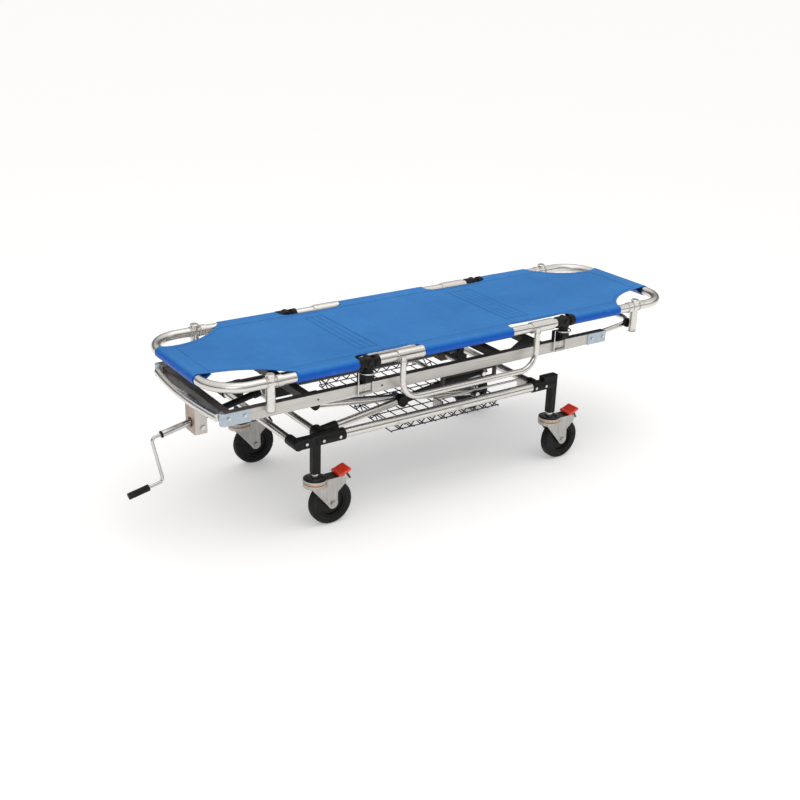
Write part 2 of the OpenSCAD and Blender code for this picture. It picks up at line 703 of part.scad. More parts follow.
// Bent side wire that runs down and up between the rim and the floor
module basket_zigzag(p, q) {
  run = q - p;
  n = round(norm(run) / mesh_pitch);
  drop = [0, 0, basket_z[0] - basket_z[1] + wire_r];
  for (i = [0 : n - 1]) {
    valley = p + run * ((i + 0.5) / n) + drop;
    basket_line(p + run * (i / n), valley);
    basket_line(valley, p + run * ((i + 1) / n));
  }
}
// Crossing wires lie one on the other, as in welded mesh
module storage_basket() color("#161616") placed() {
  x0 = basket_x[0];
  x1 = basket_x[1];
  nx = round((x1 - x0) / mesh_pitch);
  ny = round(2 * basket_y / mesh_pitch);
  rim = basket_z[1];
  for (i = [0 : nx]) basket_line([x0 + i * (x1 - x0) / nx, -basket_y, basket_z[0] - wire_gap],
                                 [x0 + i * (x1 - x0) / nx, basket_y, basket_z[0] - wire_gap]);
  for (i = [0 : ny]) basket_line([x0, -basket_y + i * 2 * basket_y / ny, basket_z[0]],
                                 [x1, -basket_y + i * 2 * basket_y / ny, basket_z[0]]);
  both_sides() {
    basket_line([x0, basket_y + wire_gap, rim], [x1, basket_y + wire_gap, rim]);
    basket_zigzag([x0 + 5, basket_y, rim], [x1 - 5, basket_y, rim]);
    for (x = [x0 + mesh_pitch, x1 - mesh_pitch])
      basket_line([x, basket_y + 2 * wire_gap, rim - 6], [x, basket_y + 2 * wire_gap, base_z - 2]);
  }
  for (side = [0, 1]) {
    out = [x0 - wire_gap, x1 + wire_gap][side];
    basket_line([out, -basket_y, rim + wire_gap], [out, basket_y, rim + wire_gap]);
    basket_zigzag([out, 5 - basket_y, rim], [out, basket_y - 5, rim]);
  }
}
module lower_tracks() color("silver") placed() both_sides()
  guide_bars(-96, 274, lower_track_y, lower_z, lower_z - 21, lower_z + 21, [lower_track_y - 6, side_y - base_r - 0.1]);

// ---- Casters, drawn about their stem axis, trailing towards the head end ----
fork_half = tyre_w / 2 + 2;
fork_t = 3;
swivel_r = 39;
tongue_z = 165;
crease_x = 31;
axle_r = 5;
module fork_plate() {
  linear_extrude(fork_t) {
    polygon([[-30, 150], [trail - 17, axle_z - 6], [trail + 17, axle_z - 4], [trail + 17, 112],
             [102, 140], [104, 158], [97, tongue_z], [-30, tongue_z]]);
    translate([trail, axle_z]) circle(18);
  }
}
// Swivel head: two races with the seal's groove between them, and the tongue under the brake pedal
module swivel_head() {
  translate([0, 0, 145]) cylinder(r = swivel_r, h = 12);
  translate([0, 0, 156]) cylinder(r = swivel_r - 3, h = 6);
  translate([0, 0, 161]) cylinder(r = swivel_r, h = 10);
  translate([0, 0, 171]) cylinder(r1 = swivel_r, r2 = swivel_r - 9, h = head_top_z - 171);
  block([0, -fork_half - fork_t, tongue_z - 4], [98, fork_half + fork_t, tongue_z]);
}
module caster_fork(x, side) {
  placed() translate([x, side * side_y, 0]) {
    difference() {
      union() {
        swivel_head();
        for (y = [-fork_half, fork_half + fork_t]) translate([0, y, 0]) rotate([90, 0, 0]) fork_plate();
        // Pressed crease down each plate
        for (s = [-1, 1]) translate([crease_x, s * (fork_half + fork_t), 86])
          cylinder(r = 1.5, h = tongue_z - 90, $fn = 24);
      }
      translate([0, 0, 140]) cylinder(r = kingpin_r + run_gap, h = 50);
      translate([0, 0, dish_z]) cylinder(r = swivel_r - 11, h = head_top_z);
      along_y(trail, -fork_half, axle_z) cylinder(r = wheel_d / 2 + 3, h = 2 * fork_half);
    }
    // Axle bolt
    along_y(trail, -fork_half - fork_t - 6, axle_z) cylinder(r = axle_r, h = 2 * (fork_half + fork_t + 6));
    for (y = [-fork_half - fork_t - 6, fork_half + fork_t])
      along_y(trail, y, axle_z) cylinder(r = 9, h = 6, $fn = 6);
  }
}
module at_axle(x, side) {
  placed() along_y(x + trail, side * side_y, axle_z) children();
}
module caster_hub(x, side) {
  at_axle(x, side) difference() {
    union() {
      translate([0, 0, -15]) cylinder(r = 20, h = 30);
      translate([0, 0, -6]) cylinder(r = 46, h = 12);
      difference() {
        translate([0, 0, -13]) cylinder(r = 50, h = 26);
        translate([0, 0, -14]) cylinder(r = 44, h = 28);
      }
    }
    translate([0, 0, -20]) cylinder(r = axle_r + run_gap, h = 40);
  }
}
module caster_tyre(x, side) {
  round_r = 7;
  w = tyre_w / 2;
  at_axle(x, side) rotate_extrude($fn = 96) {
    translate([50 + weld_gap, -w]) square([wheel_d / 2 - 50 - weld_gap - round_r, 2 * w]);
    translate([wheel_d / 2 - round_r - 1, -w + round_r]) square([round_r + 1, 2 * (w - round_r)]);
    for (s = [-1, 1]) translate([wheel_d / 2 - round_r, s * (w - round_r)]) circle(round_r);
  }
}
pedal_pivot = [82, 171];
pedal_half = 25;
pedal_pin_r = 3.5;
module brake_pedal(x, side) {
  placed() translate([x + pedal_pivot[0], side * side_y, pedal_pivot[1]]) {
    rotate([90, 0, 0]) translate([0, 0, -pedal_half]) linear_extrude(2 * pedal_half)
      polygon([[-8, -4], [5, -4], [35, 8], [37, 15], [31, 16], [2, 5], [-8, 4]]);
    // Hinge pin
    along_y(0, -pedal_half - 2, 0) cylinder(r = pedal_pin_r, h = 2 * pedal_half + 4);
    // Release lever under the pedal
    rotate([90, 0, 0]) translate([0, 0, -5]) linear_extrude(10)
      polygon([[20, 6], [29, 8], [50, -29], [45, -32]]);
  }
}
module caster_fork_foot_left() color("#a8a49e") caster_fork(foot_stem_x, -1);
module caster_hub_foot_left() color("#2a2a2c") caster_hub(foot_stem_x, -1);
module caster_tyre_foot_left() color("#161616") caster_tyre(foot_stem_x, -1);
module brake_pedal_foot_left() color("#e03223") brake_pedal(foot_stem_x, -1);
module caster_fork_foot_right() color("#a8a49e") caster_fork(foot_stem_x, 1);
module caster_hub_foot_right() color("#2a2a2c") caster_hub(foot_stem_x, 1);
module caster_tyre_foot_right() color("#161616") caster_tyre(foot_stem_x, 1);
module brake_pedal_foot_right() color("#e03223") brake_pedal(foot_stem_x, 1);
module caster_fork_head_left() color("#a8a49e") caster_fork(head_stem_x, -1);
module caster_hub_head_left() color("#2a2a2c") caster_hub(head_stem_x, -1);
module caster_tyre_head_left() color("#161616") caster_tyre(head_stem_x, -1);
module brake_pedal_head_left() color("#e03223") brake_pedal(head_stem_x, -1);
module caster_fork_head_right() color("#a8a49e") caster_fork(head_stem_x, 1);
module caster_hub_head_right() color("#2a2a2c") caster_hub(head_stem_x, 1);
module caster_tyre_head_right() color("#161616") caster_tyre(head_stem_x, 1);
module brake_pedal_head_right() color("#e03223") brake_pedal(head_stem_x, 1);

litter_side_tubes();
mid_knuckles();
hinge_pins();
fabric_mid();
head_frame();
head_knuckles();
fabric_head();
foot_frame();
foot_knuckles();
fabric_foot();
guard_rail_left();
guard_rail_right();
latch_bail_foot_left();
latch_bail_foot_right();
latch_bail_head_left();
latch_bail_head_right();
top_rails();
rail_plates();
rail_bolts();
top_cross_members();
foot_bow();
head_bow();
litter_rests();
crank_bracket();
lift_brackets();
upper_tracks();
crank_rod();
drive_shaft();
lead_screw();
crank_grip();
yoke_beam();
screw_nut();
upper_rollers();
outer_lift_arms();
outer_arm_fittings();
inner_lift_arms();
lower_roller_shaft();
lower_rollers();
base_side_tubes();
base_cross_tubes();
corner_castings();
base_fasteners();
storage_basket();
lower_tracks();
caster_fork_foot_left();
caster_hub_foot_left();
caster_tyre_foot_left();
brake_pedal_foot_left();
caster_fork_foot_right();
caster_hub_foot_right();
caster_tyre_foot_right();
brake_pedal_foot_right();
caster_fork_head_left();
caster_hub_head_left();
caster_tyre_head_left();
brake_pedal_head_left();
caster_fork_head_right();
caster_hub_head_right();
caster_tyre_head_right();
brake_pedal_head_right();
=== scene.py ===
"""Looks of the ambulance cot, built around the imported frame. Metres, +X to the head, +Z up."""
import json
import math

import bmesh
import bpy
import numpy as np
from mathutils import Matrix, Vector, noise


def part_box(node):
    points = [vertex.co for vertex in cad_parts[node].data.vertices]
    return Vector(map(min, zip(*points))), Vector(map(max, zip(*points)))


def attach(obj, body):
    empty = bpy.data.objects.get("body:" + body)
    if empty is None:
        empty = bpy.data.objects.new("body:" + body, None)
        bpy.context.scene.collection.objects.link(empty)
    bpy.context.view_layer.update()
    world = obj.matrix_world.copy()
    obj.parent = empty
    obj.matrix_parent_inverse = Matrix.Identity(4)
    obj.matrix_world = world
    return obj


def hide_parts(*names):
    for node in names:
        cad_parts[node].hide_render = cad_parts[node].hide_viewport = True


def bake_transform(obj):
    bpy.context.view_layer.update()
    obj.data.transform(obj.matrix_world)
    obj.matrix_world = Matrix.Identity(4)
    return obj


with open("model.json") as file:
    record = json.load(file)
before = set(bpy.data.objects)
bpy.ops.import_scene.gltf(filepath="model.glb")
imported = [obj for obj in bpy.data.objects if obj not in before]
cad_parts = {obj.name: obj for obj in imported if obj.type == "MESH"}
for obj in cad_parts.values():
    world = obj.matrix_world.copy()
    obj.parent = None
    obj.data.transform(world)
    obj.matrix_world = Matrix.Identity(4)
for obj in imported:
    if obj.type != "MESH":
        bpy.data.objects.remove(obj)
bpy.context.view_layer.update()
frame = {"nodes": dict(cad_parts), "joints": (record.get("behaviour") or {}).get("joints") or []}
nodes = frame["nodes"]
pivots = {j["name"]: Vector(j["pos_m"]) for j in frame["joints"] if "pos_m" in j}
CORNERS = [(end, side) for end in ("foot", "head") for side in ("left", "right")]
SIGN = {"foot": -1, "head": 1, "left": -1, "right": 1}

# Litter sizes that the frame gives
tube_low, tube_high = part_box("litter_side_tubes")
TUBE_R = (tube_high.z - tube_low.z) / 2
SIDE_Y = tube_high.y - TUBE_R
LITTER_Z = (tube_high.z + tube_low.z) / 2
MID_X = (pivots["foot_raise"].x + pivots["head_raise"].x) / 2
HINGE_X = pivots["head_raise"].x - MID_X
LOOP_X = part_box("head_frame")[1].x - TUBE_R - MID_X
LATCH_PLATE_END = HINGE_X + 0.08

# Cloth: where it is sewn round the tubes and where it is cut away, from the litter's middle
ROLL_MID = (-0.198, 0.170)
ROLL_END = (0.450, 0.670)
BITES = ((-0.450, -0.198), (0.170, 0.450))
BITE_Y = SIDE_Y - 0.036
BITE_R = 0.030
ARC_CENTRE = (0.900, 0.405)
ARC_R = 0.270
CLOTH_GAP = 0.0006
CLOTH_T = 0.0021
CLOTH_R = TUBE_R + CLOTH_GAP + CLOTH_T
HEM_IN = 0.045
HEM_EDGE = 0.014
FOOT_LINES = (-0.385, -0.362, -0.339, -0.316)
HEAD_LINES = (0.226, 0.250, 0.274, 0.298, 0.322)
LINE_HALF = 0.172

# Sewing: steps, sunk lines and puckers of the sheet, the hem's tail under it, and the thread
HEM_STEP = 0.0007
GROOVE = 0.0006
LINE_W = 0.003
PUCKER = 0.0004
PUCKER_FADE = 0.012
LINE_PUCKER_FADE = 0.006
TAIL_DROP = 2.2 * CLOTH_T
TAIL_SHARES = (0.34, 0.67, 1.0)
BITE_SEAM_IN = 0.005
STITCH_STEP = 0.0052
STITCH_LEN = 0.0036
STITCH_W = 0.0010
STITCH_PROFILE = ((0.0, -0.5), (0.8, -0.34), (1.0, 0.0), (0.8, 0.34), (0.0, 0.5))
STITCH_SIDES = 6
SKIN = 0.00005

# Grids: the sheet that the simulation hangs, and the finished cloth's rows and columns
SIM_X = 131
SIM_Y = 33
SIM_FRAMES = 40
SAG_CAP = 0.010
COLUMN_STEP = 0.007
COLUMN_GAP = 0.0008
BITE_COLUMNS = 6
INNER_ROWS = 38
EDGE_SHARES = (0.35, 0.6, 0.8, 0.93, 1.0)
BIND_STEPS = 16
TINY = 0.000001

# Tyres: bore, tread and its two grooves
TYRE_BORE = 0.0503
TREAD_STEPS = 44
CROWN = 0.0008
SHOULDER = 0.008
SHOULDER_DROP = 0.0075
TREAD_GROOVES = (-0.0062, 0.0062)
TREAD_GROOVE_DEPTH = 0.0012
TREAD_GROOVE_HALF = 0.0011

# Casters: the seal in the swivel head's groove and the lip over it, and the fork's greased top
SEAL_Z = 0.159
LIP_Z = SEAL_Z + 0.0034
GREASE_Z = 0.164
PEDAL_SPLIT = 0.0031

# Cart and litter details
BOW_RIM = 0.006
SLEEVE_OUT = 0.101
SLEEVE_R = 0.0105
CRANK_R = 0.0058
LEG_X = 0.756
LEG_WELD = 0.0155
GUARD_LEG_X = (-0.290, 0.270)
GUARD_LEG_OUT = 0.023
GUARD_LEG_DROP = 0.0105
GUARD_LEG_R = 0.0102
BEAD_R = 0.0022
BEAD_STEPS = 8
PLUG_TOP = 0.006

# Studio: floor, world brightness by height, and the camera
FLOOR_HALF = 30
FLOOR_DROP = 0.0005
FLOOR_GLOW = 0.27
SEEN_WHITE = 0.985
SKY_STOPS = ((0.0, 0.25), (0.08, 0.05), (0.27, 0.07), (0.42, 0.80), (1.0, 1.0))
CAM_AZ = math.radians(-35.20)
CAM_EL = math.radians(22.61)
CAM_ROLL = math.radians(2.0)
CAM_DISTANCE = 4.236
CAM_SHIFT = (-0.0794, 0.1987)
CAM_LENS = 51.94

# How much light the dark plastics and paints reflect
DARK_SHINE = 0.22


# ---- Small helpers for node materials ----
class Look:
    """A node material under construction."""

    def __init__(self, name, color, rough, metallic=0.0):
        self.material = bpy.data.materials.new(name)
        self.material.use_nodes = True
        self.tree = self.material.node_tree
        self.surface = self.tree.nodes["Principled BSDF"]
        self.set(self.surface, {"Base Color": (*color, 1.0), "Roughness": rough, "Metallic": metallic})
        self.where = self.add("TexCoord").outputs["Object"]
        self.normal = None

    def add(self, kind, inputs=None, **settings):
        node = self.tree.nodes.new("ShaderNode" + kind)
        for key, value in settings.items():
            setattr(node, key, value)
        self.set(node, inputs or {})
        return node

    def set(self, node, inputs):
        for key, value in inputs.items():
            if isinstance(value, bpy.types.NodeSocket):
                self.tree.links.new(value, node.inputs[key])
            else:
                node.inputs[key].default_value = value

    def stretched(self, scale):
        return self.add("Mapping", {"Vector": self.where, "Scale": scale}).outputs["Vector"]

    def noise(self, scale, detail=3.0, stretch=(1, 1, 1), rough=0.55):
        inputs = {"Vector": self.stretched(stretch), "Scale": scale, "Detail": detail, "Roughness": rough}
        return self.add("TexNoise", inputs).outputs["Fac"]

    def band(self, value, low, high, out_low=0.0, out_high=1.0):
        inputs = {"Value": value, "From Min": low, "From Max": high, "To Min": out_low, "To Max": out_high}
        return self.add("MapRange", inputs).outputs["Result"]

    def math(self, operation, a, b=0.0):
        node = self.add("Math", {0: a, 1: b}, operation=operation)
        return node.outputs[0]

    def blend(self, factor, a, b):
        node = self.add("Mix", data_type="RGBA")
        self.set(node, {0: factor, 6: a if isinstance(a, bpy.types.NodeSocket) else (*a, 1.0),
                        7: b if isinstance(b, bpy.types.NodeSocket) else (*b, 1.0)})
        return node.outputs[2]

    def color(self, value):
        self.set(self.surface, {"Base Color": value})

    def rough(self, value):
        self.set(self.surface, {"Roughness": value})

    def bump(self, height, distance, strength=1.0):
        inputs = {"Height": height, "Distance": distance, "Strength": strength}
        if self.normal is not None:
            inputs["Normal"] = self.normal
        self.normal = self.add("Bump", inputs).outputs["Normal"]
        self.set(self.surface, {"Normal": self.normal})

    def edges(self, radius=0.0014):
        """Rounds the edges that light sees, and gives the share of wear: 1 on edges, 0 on flats."""
        rounded = self.add("Bevel", {"Radius": radius}, samples=4).outputs["Normal"]
        flat = self.add("NewGeometry").outputs["Normal"]
        match = self.add("VectorMath", {0: rounded, 1: flat}, operation="DOT_PRODUCT").outputs["Value"]
        self.normal = rounded
        self.set(self.surface, {"Normal": rounded})
        return self.band(match, 0.97, 0.80)

    def axis(self, name):
        return self.add("SeparateXYZ", {"Vector": self.where}).outputs[name.upper()]

    def facing(self, name):
        """The part of the surface normal that points along an axis."""
        normal = self.add("NewGeometry").outputs["Normal"]
        return self.add("SeparateXYZ", {"Vector": normal}).outputs[name.upper()]


GRAIN = {"x": (0.04, 1, 1), "y": (1, 0.04, 1), "z": (1, 1, 0.04)}


def alloy(name, color=(0.70, 0.68, 0.65), rough=0.24, grain="x", wear=0.10):
    """Satin drawn tube: fine lines along its length, faint smudges and a few darker scuffs."""
    look = Look(name, color, rough, 1.0)
    lines = look.noise(900, 2, GRAIN[grain])
    smudge = look.noise(9, 4)
    scuff = look.band(look.noise(55, 6, (0.4, 1, 1)), 0.62, 0.72)
    grime = look.band(look.noise(3.5, 5), 0.52, 0.75)
    shade = look.blend(look.math("MULTIPLY", grime, 0.35), color, tuple(c * 0.72 for c in color))
    look.color(look.blend(look.math("MULTIPLY", scuff, 0.5), shade, tuple(c * 0.55 for c in color)))
    base = look.band(smudge, 0.3, 0.7, rough - 0.05, rough + wear)
    look.rough(look.math("ADD", base, look.math("MULTIPLY", scuff, 0.15)))
    look.edges(0.0008)
    look.bump(lines, 0.00003, 0.5)
    look.bump(look.noise(26, 3), 0.0002, 0.25)
    return look.material


def plated(name, color=(0.60, 0.595, 0.585), rough=0.20):
    look = Look(name, color, rough, 1.0)
    look.rough(look.band(look.noise(40, 4), 0.3, 0.7, rough - 0.05, rough + 0.12))
    look.color(look.blend(look.band(look.noise(18, 5), 0.5, 0.8), color, (0.50, 0.47, 0.43)))
    look.edges(0.0008)
    look.bump(look.noise(300, 2), 0.00004, 0.4)
    return look.material


def rail_metal(name):
    """Rolled box section: brushed along X, grey sides and a dark upper face."""
    look = Look(name, (0.62, 0.59, 0.55), 0.38, 0.65)
    streak = look.noise(500, 3, (0.02, 1, 1))
    patch = look.noise(6, 4)
    top = look.band(look.facing("z"), 0.7, 0.9)
    side = look.blend(look.band(streak, 0.35, 0.65), (0.66, 0.635, 0.60), (0.565, 0.545, 0.515))
    side = look.blend(look.band(patch, 0.45, 0.75, 0, 0.45), side, (0.50, 0.46, 0.42))
    dark = look.blend(patch, (0.105, 0.090, 0.078), (0.060, 0.052, 0.046))
    look.color(look.blend(top, side, dark))
    look.set(look.surface, {"Metallic": look.band(top, 0, 1, 0.65, 0.15)})
    look.rough(look.band(streak, 0.3, 0.7, 0.36, 0.54))
    look.edges(0.0012)
    look.bump(streak, 0.00005, 0.6)
    return look.material


def box_metal(name):
    """Crank box: satin grey sides and a browner front that faces the foot end."""
    look = Look(name, (0.62, 0.59, 0.55), 0.36, 0.75)
    streak = look.noise(420, 3, (1, 1, 0.05))
    front = look.band(look.facing("x"), -0.7, -0.95)
    side = look.blend(streak, (0.68, 0.65, 0.61), (0.52, 0.49, 0.455))
    stain = look.blend(look.band(look.noise(30, 5), 0.4, 0.7), (0.36, 0.27, 0.22), (0.50, 0.40, 0.34))
    look.color(look.blend(front, side, stain))
    look.rough(look.band(streak, 0.3, 0.7, 0.30, 0.46))
    look.edges(0.0012)
    look.bump(streak, 0.00006, 0.6)
    return look.material


def zinc(name, color=(0.47, 0.545, 0.61), rough=0.36):
    """Fine crystal pattern: bluish end plates, and plain grey latch plates nearer the middle."""
    look = Look(name, color, rough, 0.8)
    cells = look.add("TexVoronoi", {"Vector": look.where, "Scale": 260.0}).outputs["Color"]
    value = look.add("SeparateColor", {"Color": cells}).outputs["Red"]
    crystal = look.blend(look.math("MULTIPLY", value, 0.5), color, tuple(c * 0.8 for c in color))
    away = look.math("ABSOLUTE", look.math("SUBTRACT", look.axis("x"), MID_X))
    end_plate = look.band(away, LATCH_PLATE_END, LATCH_PLATE_END + 0.001)
    look.color(look.blend(end_plate, (0.56, 0.54, 0.515), crystal))
    look.rough(look.band(value, 0, 1, rough - 0.06, rough + 0.10))
    look.edges(0.0008)
    look.bump(look.noise(200, 3), 0.00006, 0.5)
    return look.material


def coated(name, color, rough=0.42, grain_size=700, worn=(0.34, 0.33, 0.32), depth=0.00012):
    """Painted, cast or moulded surface: fine grain, dusty flats and worn edges."""
    look = Look(name, color, rough)
    look.set(look.surface, {"Specular IOR Level": DARK_SHINE})
    grain = look.noise(grain_size, 3)
    dust = look.band(look.noise(14, 5), 0.45, 0.8, 0, 0.25)
    dusty = look.blend(dust, color, tuple(min(1, c * 1.6 + 0.006) for c in color))
    chips = look.math("MULTIPLY", look.edges(), look.band(look.noise(160, 4), 0.52, 0.64, 0, 0.7))
    look.color(look.blend(chips, dusty, worn))
    look.rough(look.band(look.noise(60, 4), 0.3, 0.7, rough - 0.08, rough + 0.12))
    look.bump(grain, depth, 0.6)
    look.bump(look.noise(45, 2), 0.0003, 0.15)
    return look.material


def rubber(name, color=(0.009, 0.009, 0.009), rough=0.62):
    look = Look(name, color, rough)
    look.set(look.surface, {"Specular IOR Level": DARK_SHINE})
    dust = look.band(look.noise(30, 5), 0.5, 0.75, 0, 0.5)
    look.color(look.blend(dust, color, (0.030, 0.028, 0.026)))
    look.rough(look.band(look.noise(90, 4), 0.3, 0.7, rough - 0.12, rough + 0.14))
    look.bump(look.noise(1200, 3), 0.00012, 0.5)
    return look.material


def red_pedal(name, split_z):
    """Glossy red moulding; below split_z the release lever is black."""
    look = Look(name, (0.80, 0.035, 0.015), 0.30)
    low = look.band(look.axis("z"), split_z, split_z - 0.0004)
    fading = look.band(look.noise(60, 4), 0.4, 0.8, 0, 0.35)
    faded = look.blend(fading, (0.82, 0.045, 0.016), (0.62, 0.03, 0.015))
    worn = look.blend(look.math("MULTIPLY", look.edges(), 0.4), faded, (0.86, 0.22, 0.16))
    look.color(look.blend(low, worn, (0.02, 0.02, 0.02)))
    look.rough(look.band(look.noise(120, 4), 0.3, 0.7, 0.22, 0.42))
    look.bump(look.noise(700, 2), 0.00005, 0.5)
    return look.material


def fork_metal(name):
    """Pressed steel fork: zinc grey, with a dark greased race on top of the swivel head."""
    look = Look(name, (0.60, 0.585, 0.56), 0.34, 0.85)
    rolled = look.noise(120, 4, (1, 1, 0.15))
    stain = look.band(look.noise(34, 5), 0.5, 0.75, 0, 0.5)
    body = look.blend(look.band(rolled, 0.3, 0.7), (0.50, 0.485, 0.465), (0.41, 0.40, 0.38))
    body = look.blend(stain, body, (0.33, 0.30, 0.26))
    upward = look.band(look.facing("z"), 0.10, 0.40)
    head = look.math("MULTIPLY", upward, look.band(look.axis("z"), GREASE_Z, GREASE_Z + 0.0008))
    look.color(look.blend(head, body, (0.075, 0.068, 0.06)))
    look.rough(look.band(rolled, 0.3, 0.7, 0.26, 0.44))
    look.edges(0.0016)
    look.bump(rolled, 0.00008, 0.6)
    return look.material


def cloth(name):
    """Blue coated cloth: fine plain weave, creases that catch light, paler handling marks, and painted
    shade on the rolls' sides and underside.

    The attribute "facing" is 1 where the sheet faces up at rest, 0 on the rolls' sides, -1 below.
    """
    look = Look(name, (0.045, 0.20, 0.58), 0.40)
    ridge = 2 * math.pi / 0.0011
    warp = look.math("SINE", look.math("MULTIPLY", look.axis("x"), ridge))
    weft = look.math("SINE", look.math("MULTIPLY", look.axis("y"), ridge))
    weave = look.math("MULTIPLY", warp, weft)
    facing = look.add("Attribute", attribute_name="facing").outputs["Fac"]
    flat = look.blend(look.band(look.noise(5, 5), 0.35, 0.7), (0.029, 0.214, 0.585), (0.022, 0.180, 0.515))
    # Painted shade: where the sheet turns down round the tubes, away from the light above, it gets a
    # darker, deeper blue than the flat top.
    painted_roll_shade = look.blend(look.band(facing, 0.30, 0.93), (0.003, 0.100, 0.510), flat)
    marks = look.band(look.noise(38, 6, (1, 0.35, 1)), 0.58, 0.72, 0, 0.30)
    marked = look.blend(marks, painted_roll_shade, (0.055, 0.255, 0.585))
    # Painted shade: where the sheet faces down, under the litter, its colour is near black.
    look.color(look.blend(look.band(facing, -0.75, -0.95), marked, (0.010, 0.022, 0.050)))
    look.rough(look.band(look.noise(22, 4), 0.3, 0.7, 0.36, 0.50))
    look.set(look.surface, {"Sheen Weight": 0.02, "Sheen Roughness": 0.4, "Specular IOR Level": 0.16})
    look.bump(weave, 0.00007, 0.35)
    look.bump(look.noise(120, 4), 0.00025, 0.35)
    look.bump(look.noise(17, 5, (1, 0.6, 1)), 0.0012, 0.30)
    return look.material


def thread(name):
    look = Look(name, (0.008, 0.030, 0.13), 0.7)
    look.color(look.blend(look.noise(900, 2), (0.006, 0.024, 0.11), (0.015, 0.055, 0.20)))
    look.bump(look.noise(2500, 2), 0.00008, 0.6)
    return look.material


def grip_rubber(name, direction):
    """Hand grip with fine rings along its axis."""
    look = Look(name, (0.010, 0.010, 0.010), 0.55)
    look.set(look.surface, {"Specular IOR Level": DARK_SHINE})
    along = look.add("VectorMath", {0: look.where, 1: direction}, operation="DOT_PRODUCT").outputs["Value"]
    rings = look.math("SINE", look.math("MULTIPLY", along, 2 * math.pi / 0.003))
    look.bump(rings, 0.0003, 0.5)
    dust = look.band(look.noise(80, 4), 0.5, 0.8)
    look.color(look.blend(dust, (0.010, 0.010, 0.010), (0.030, 0.028, 0.026)))
    return look.material


# ---- Materials of the CAD nodes ----
def dress(node, material):
    mesh = nodes[node].data
    mesh.materials.clear()
    mesh.materials.append(material)
    for face in mesh.polygons:
        face.material_index = 0


ALLOY_X = alloy("alloy_tube_x")
ALLOY_Y = alloy("alloy_tube_y", grain="y")
PLATED = plated("plated_steel")
ZINC = zinc("zinc_plate")
KNUCKLE = coated("moulded_black", (0.007, 0.007, 0.007), 0.50, 900)
CASTING = coated("coated_casting", (0.007, 0.007, 0.007), 0.50, 420, depth=0.0003)
BLACK_STEEL = coated("black_steel", (0.009, 0.009, 0.009), 0.44, 600)
DARK_STEEL = coated("dark_steel", (0.060, 0.054, 0.050), 0.42, 500, worn=(0.20, 0.19, 0.18))
TYRE = rubber("tyre_rubber")
SEAL = coated("orange_seal", (0.46, 0.16, 0.05), 0.45, 500, worn=(0.5, 0.25, 0.12))
RACE = alloy("race_brass", (0.62, 0.50, 0.34), 0.30, "z")
CLOTH = cloth("litter_cloth")
THREAD = thread("sewing_thread")
WELD = alloy("weld_bead", (0.62, 0.59, 0.56), 0.32, "z")
PLUG = coated("plug_grey", (0.42, 0.41, 0.39), 0.45, 700)


def dress_frame():
    plan = {
        ALLOY_X: ["litter_side_tubes", "head_frame", "foot_frame", "guard_rail_left", "guard_rail_right",
                  "head_bow", "outer_lift_arms", "inner_lift_arms", "base_side_tubes", "lower_tracks"],
        ALLOY_Y: ["foot_bow", "base_cross_tubes", "yoke_beam"],
        PLATED: ["crank_rod", "lower_roller_shaft", "rail_bolts", "base_fasteners"]
                + [f"latch_bail_{end}_{side}" for end, side in CORNERS],
        KNUCKLE: ["mid_knuckles", "head_knuckles", "foot_knuckles", "litter_rests"],
        ZINC: ["rail_plates"],
        DARK_STEEL: ["top_cross_members", "upper_tracks"],
        BLACK_STEEL: ["lift_brackets", "drive_shaft", "outer_arm_fittings", "hinge_pins"],
        CASTING: ["corner_castings"],
    }
    for material, names in plan.items():
        for name in names:
            dress(name, material)
    dress("top_rails", rail_metal("rail_alloy"))
    dress("crank_bracket", box_metal("bracket_alloy"))
    dress("lead_screw", coated("screw_steel", (0.11, 0.11, 0.112), 0.30, 300, worn=(0.5, 0.5, 0.5)))
    dress("screw_nut", coated("nut_bronze", (0.10, 0.075, 0.045), 0.40, 500, worn=(0.45, 0.34, 0.20)))
    roller = coated("roller_nylon", (0.03, 0.03, 0.031), 0.38, 800)
    dress("upper_rollers", roller)
    dress("lower_rollers", roller)
    dress("storage_basket", coated("basket_wire", (0.014, 0.014, 0.015), 0.34, 500))
    dress("crank_grip", grip_rubber("grip_rubber", pivot_axis("grip_spin")))
    fork = fork_metal("fork_steel")
    hub = coated("hub_plastic", (0.008, 0.008, 0.008), 0.42, 600)
    for end, side in CORNERS:
        dress(f"caster_fork_{end}_{side}", fork)
        dress(f"caster_hub_{end}_{side}", hub)
        pedal_z = pivots[f"pedal_{end}_{side}_press"].z - PEDAL_SPLIT
        dress(f"brake_pedal_{end}_{side}", red_pedal(f"pedal_red_{end}_{side}", pedal_z))


def pivot_axis(name):
    joint = next(j for j in frame["joints"] if j["name"] == name)
    return Vector(joint["axis"])


# ---- Meshes ----
def mesh_object(name, verts, faces, material, smooth=True):
    mesh = bpy.data.meshes.new(name)
    mesh.from_pydata([tuple(v) for v in verts], [], faces)
    mesh.materials.append(material)
    mesh.update()
    for face in mesh.polygons:
        face.use_smooth = smooth
    piece = bpy.data.objects.new(name, mesh)
    bpy.context.scene.collection.objects.link(piece)
    return piece


def turned(profile, segments=64):
    """Verts and faces of a closed (radius, height) profile turned about Z."""
    verts = []
    faces = []
    count = len(profile)
    for i in range(segments):
        angle = 2 * math.pi * i / segments
        verts += [Vector((r * math.cos(angle), r * math.sin(angle), h)) for r, h in profile]
        for k in range(count):
            a = i * count + k
            b = i * count + (k + 1) % count
            c = ((i + 1) % segments) * count + (k + 1) % count
            d = ((i + 1) % segments) * count + k
            faces.append((a, d, c, b))
    return verts, faces


def placed(verts, matrix):
    return [matrix @ v for v in verts]


def frame_at(point, direction):
    """Matrix that takes +Z to the direction, at the point."""
    return Matrix.Translation(point) @ direction.to_track_quat("Z", "Y").to_matrix().to_4x4()


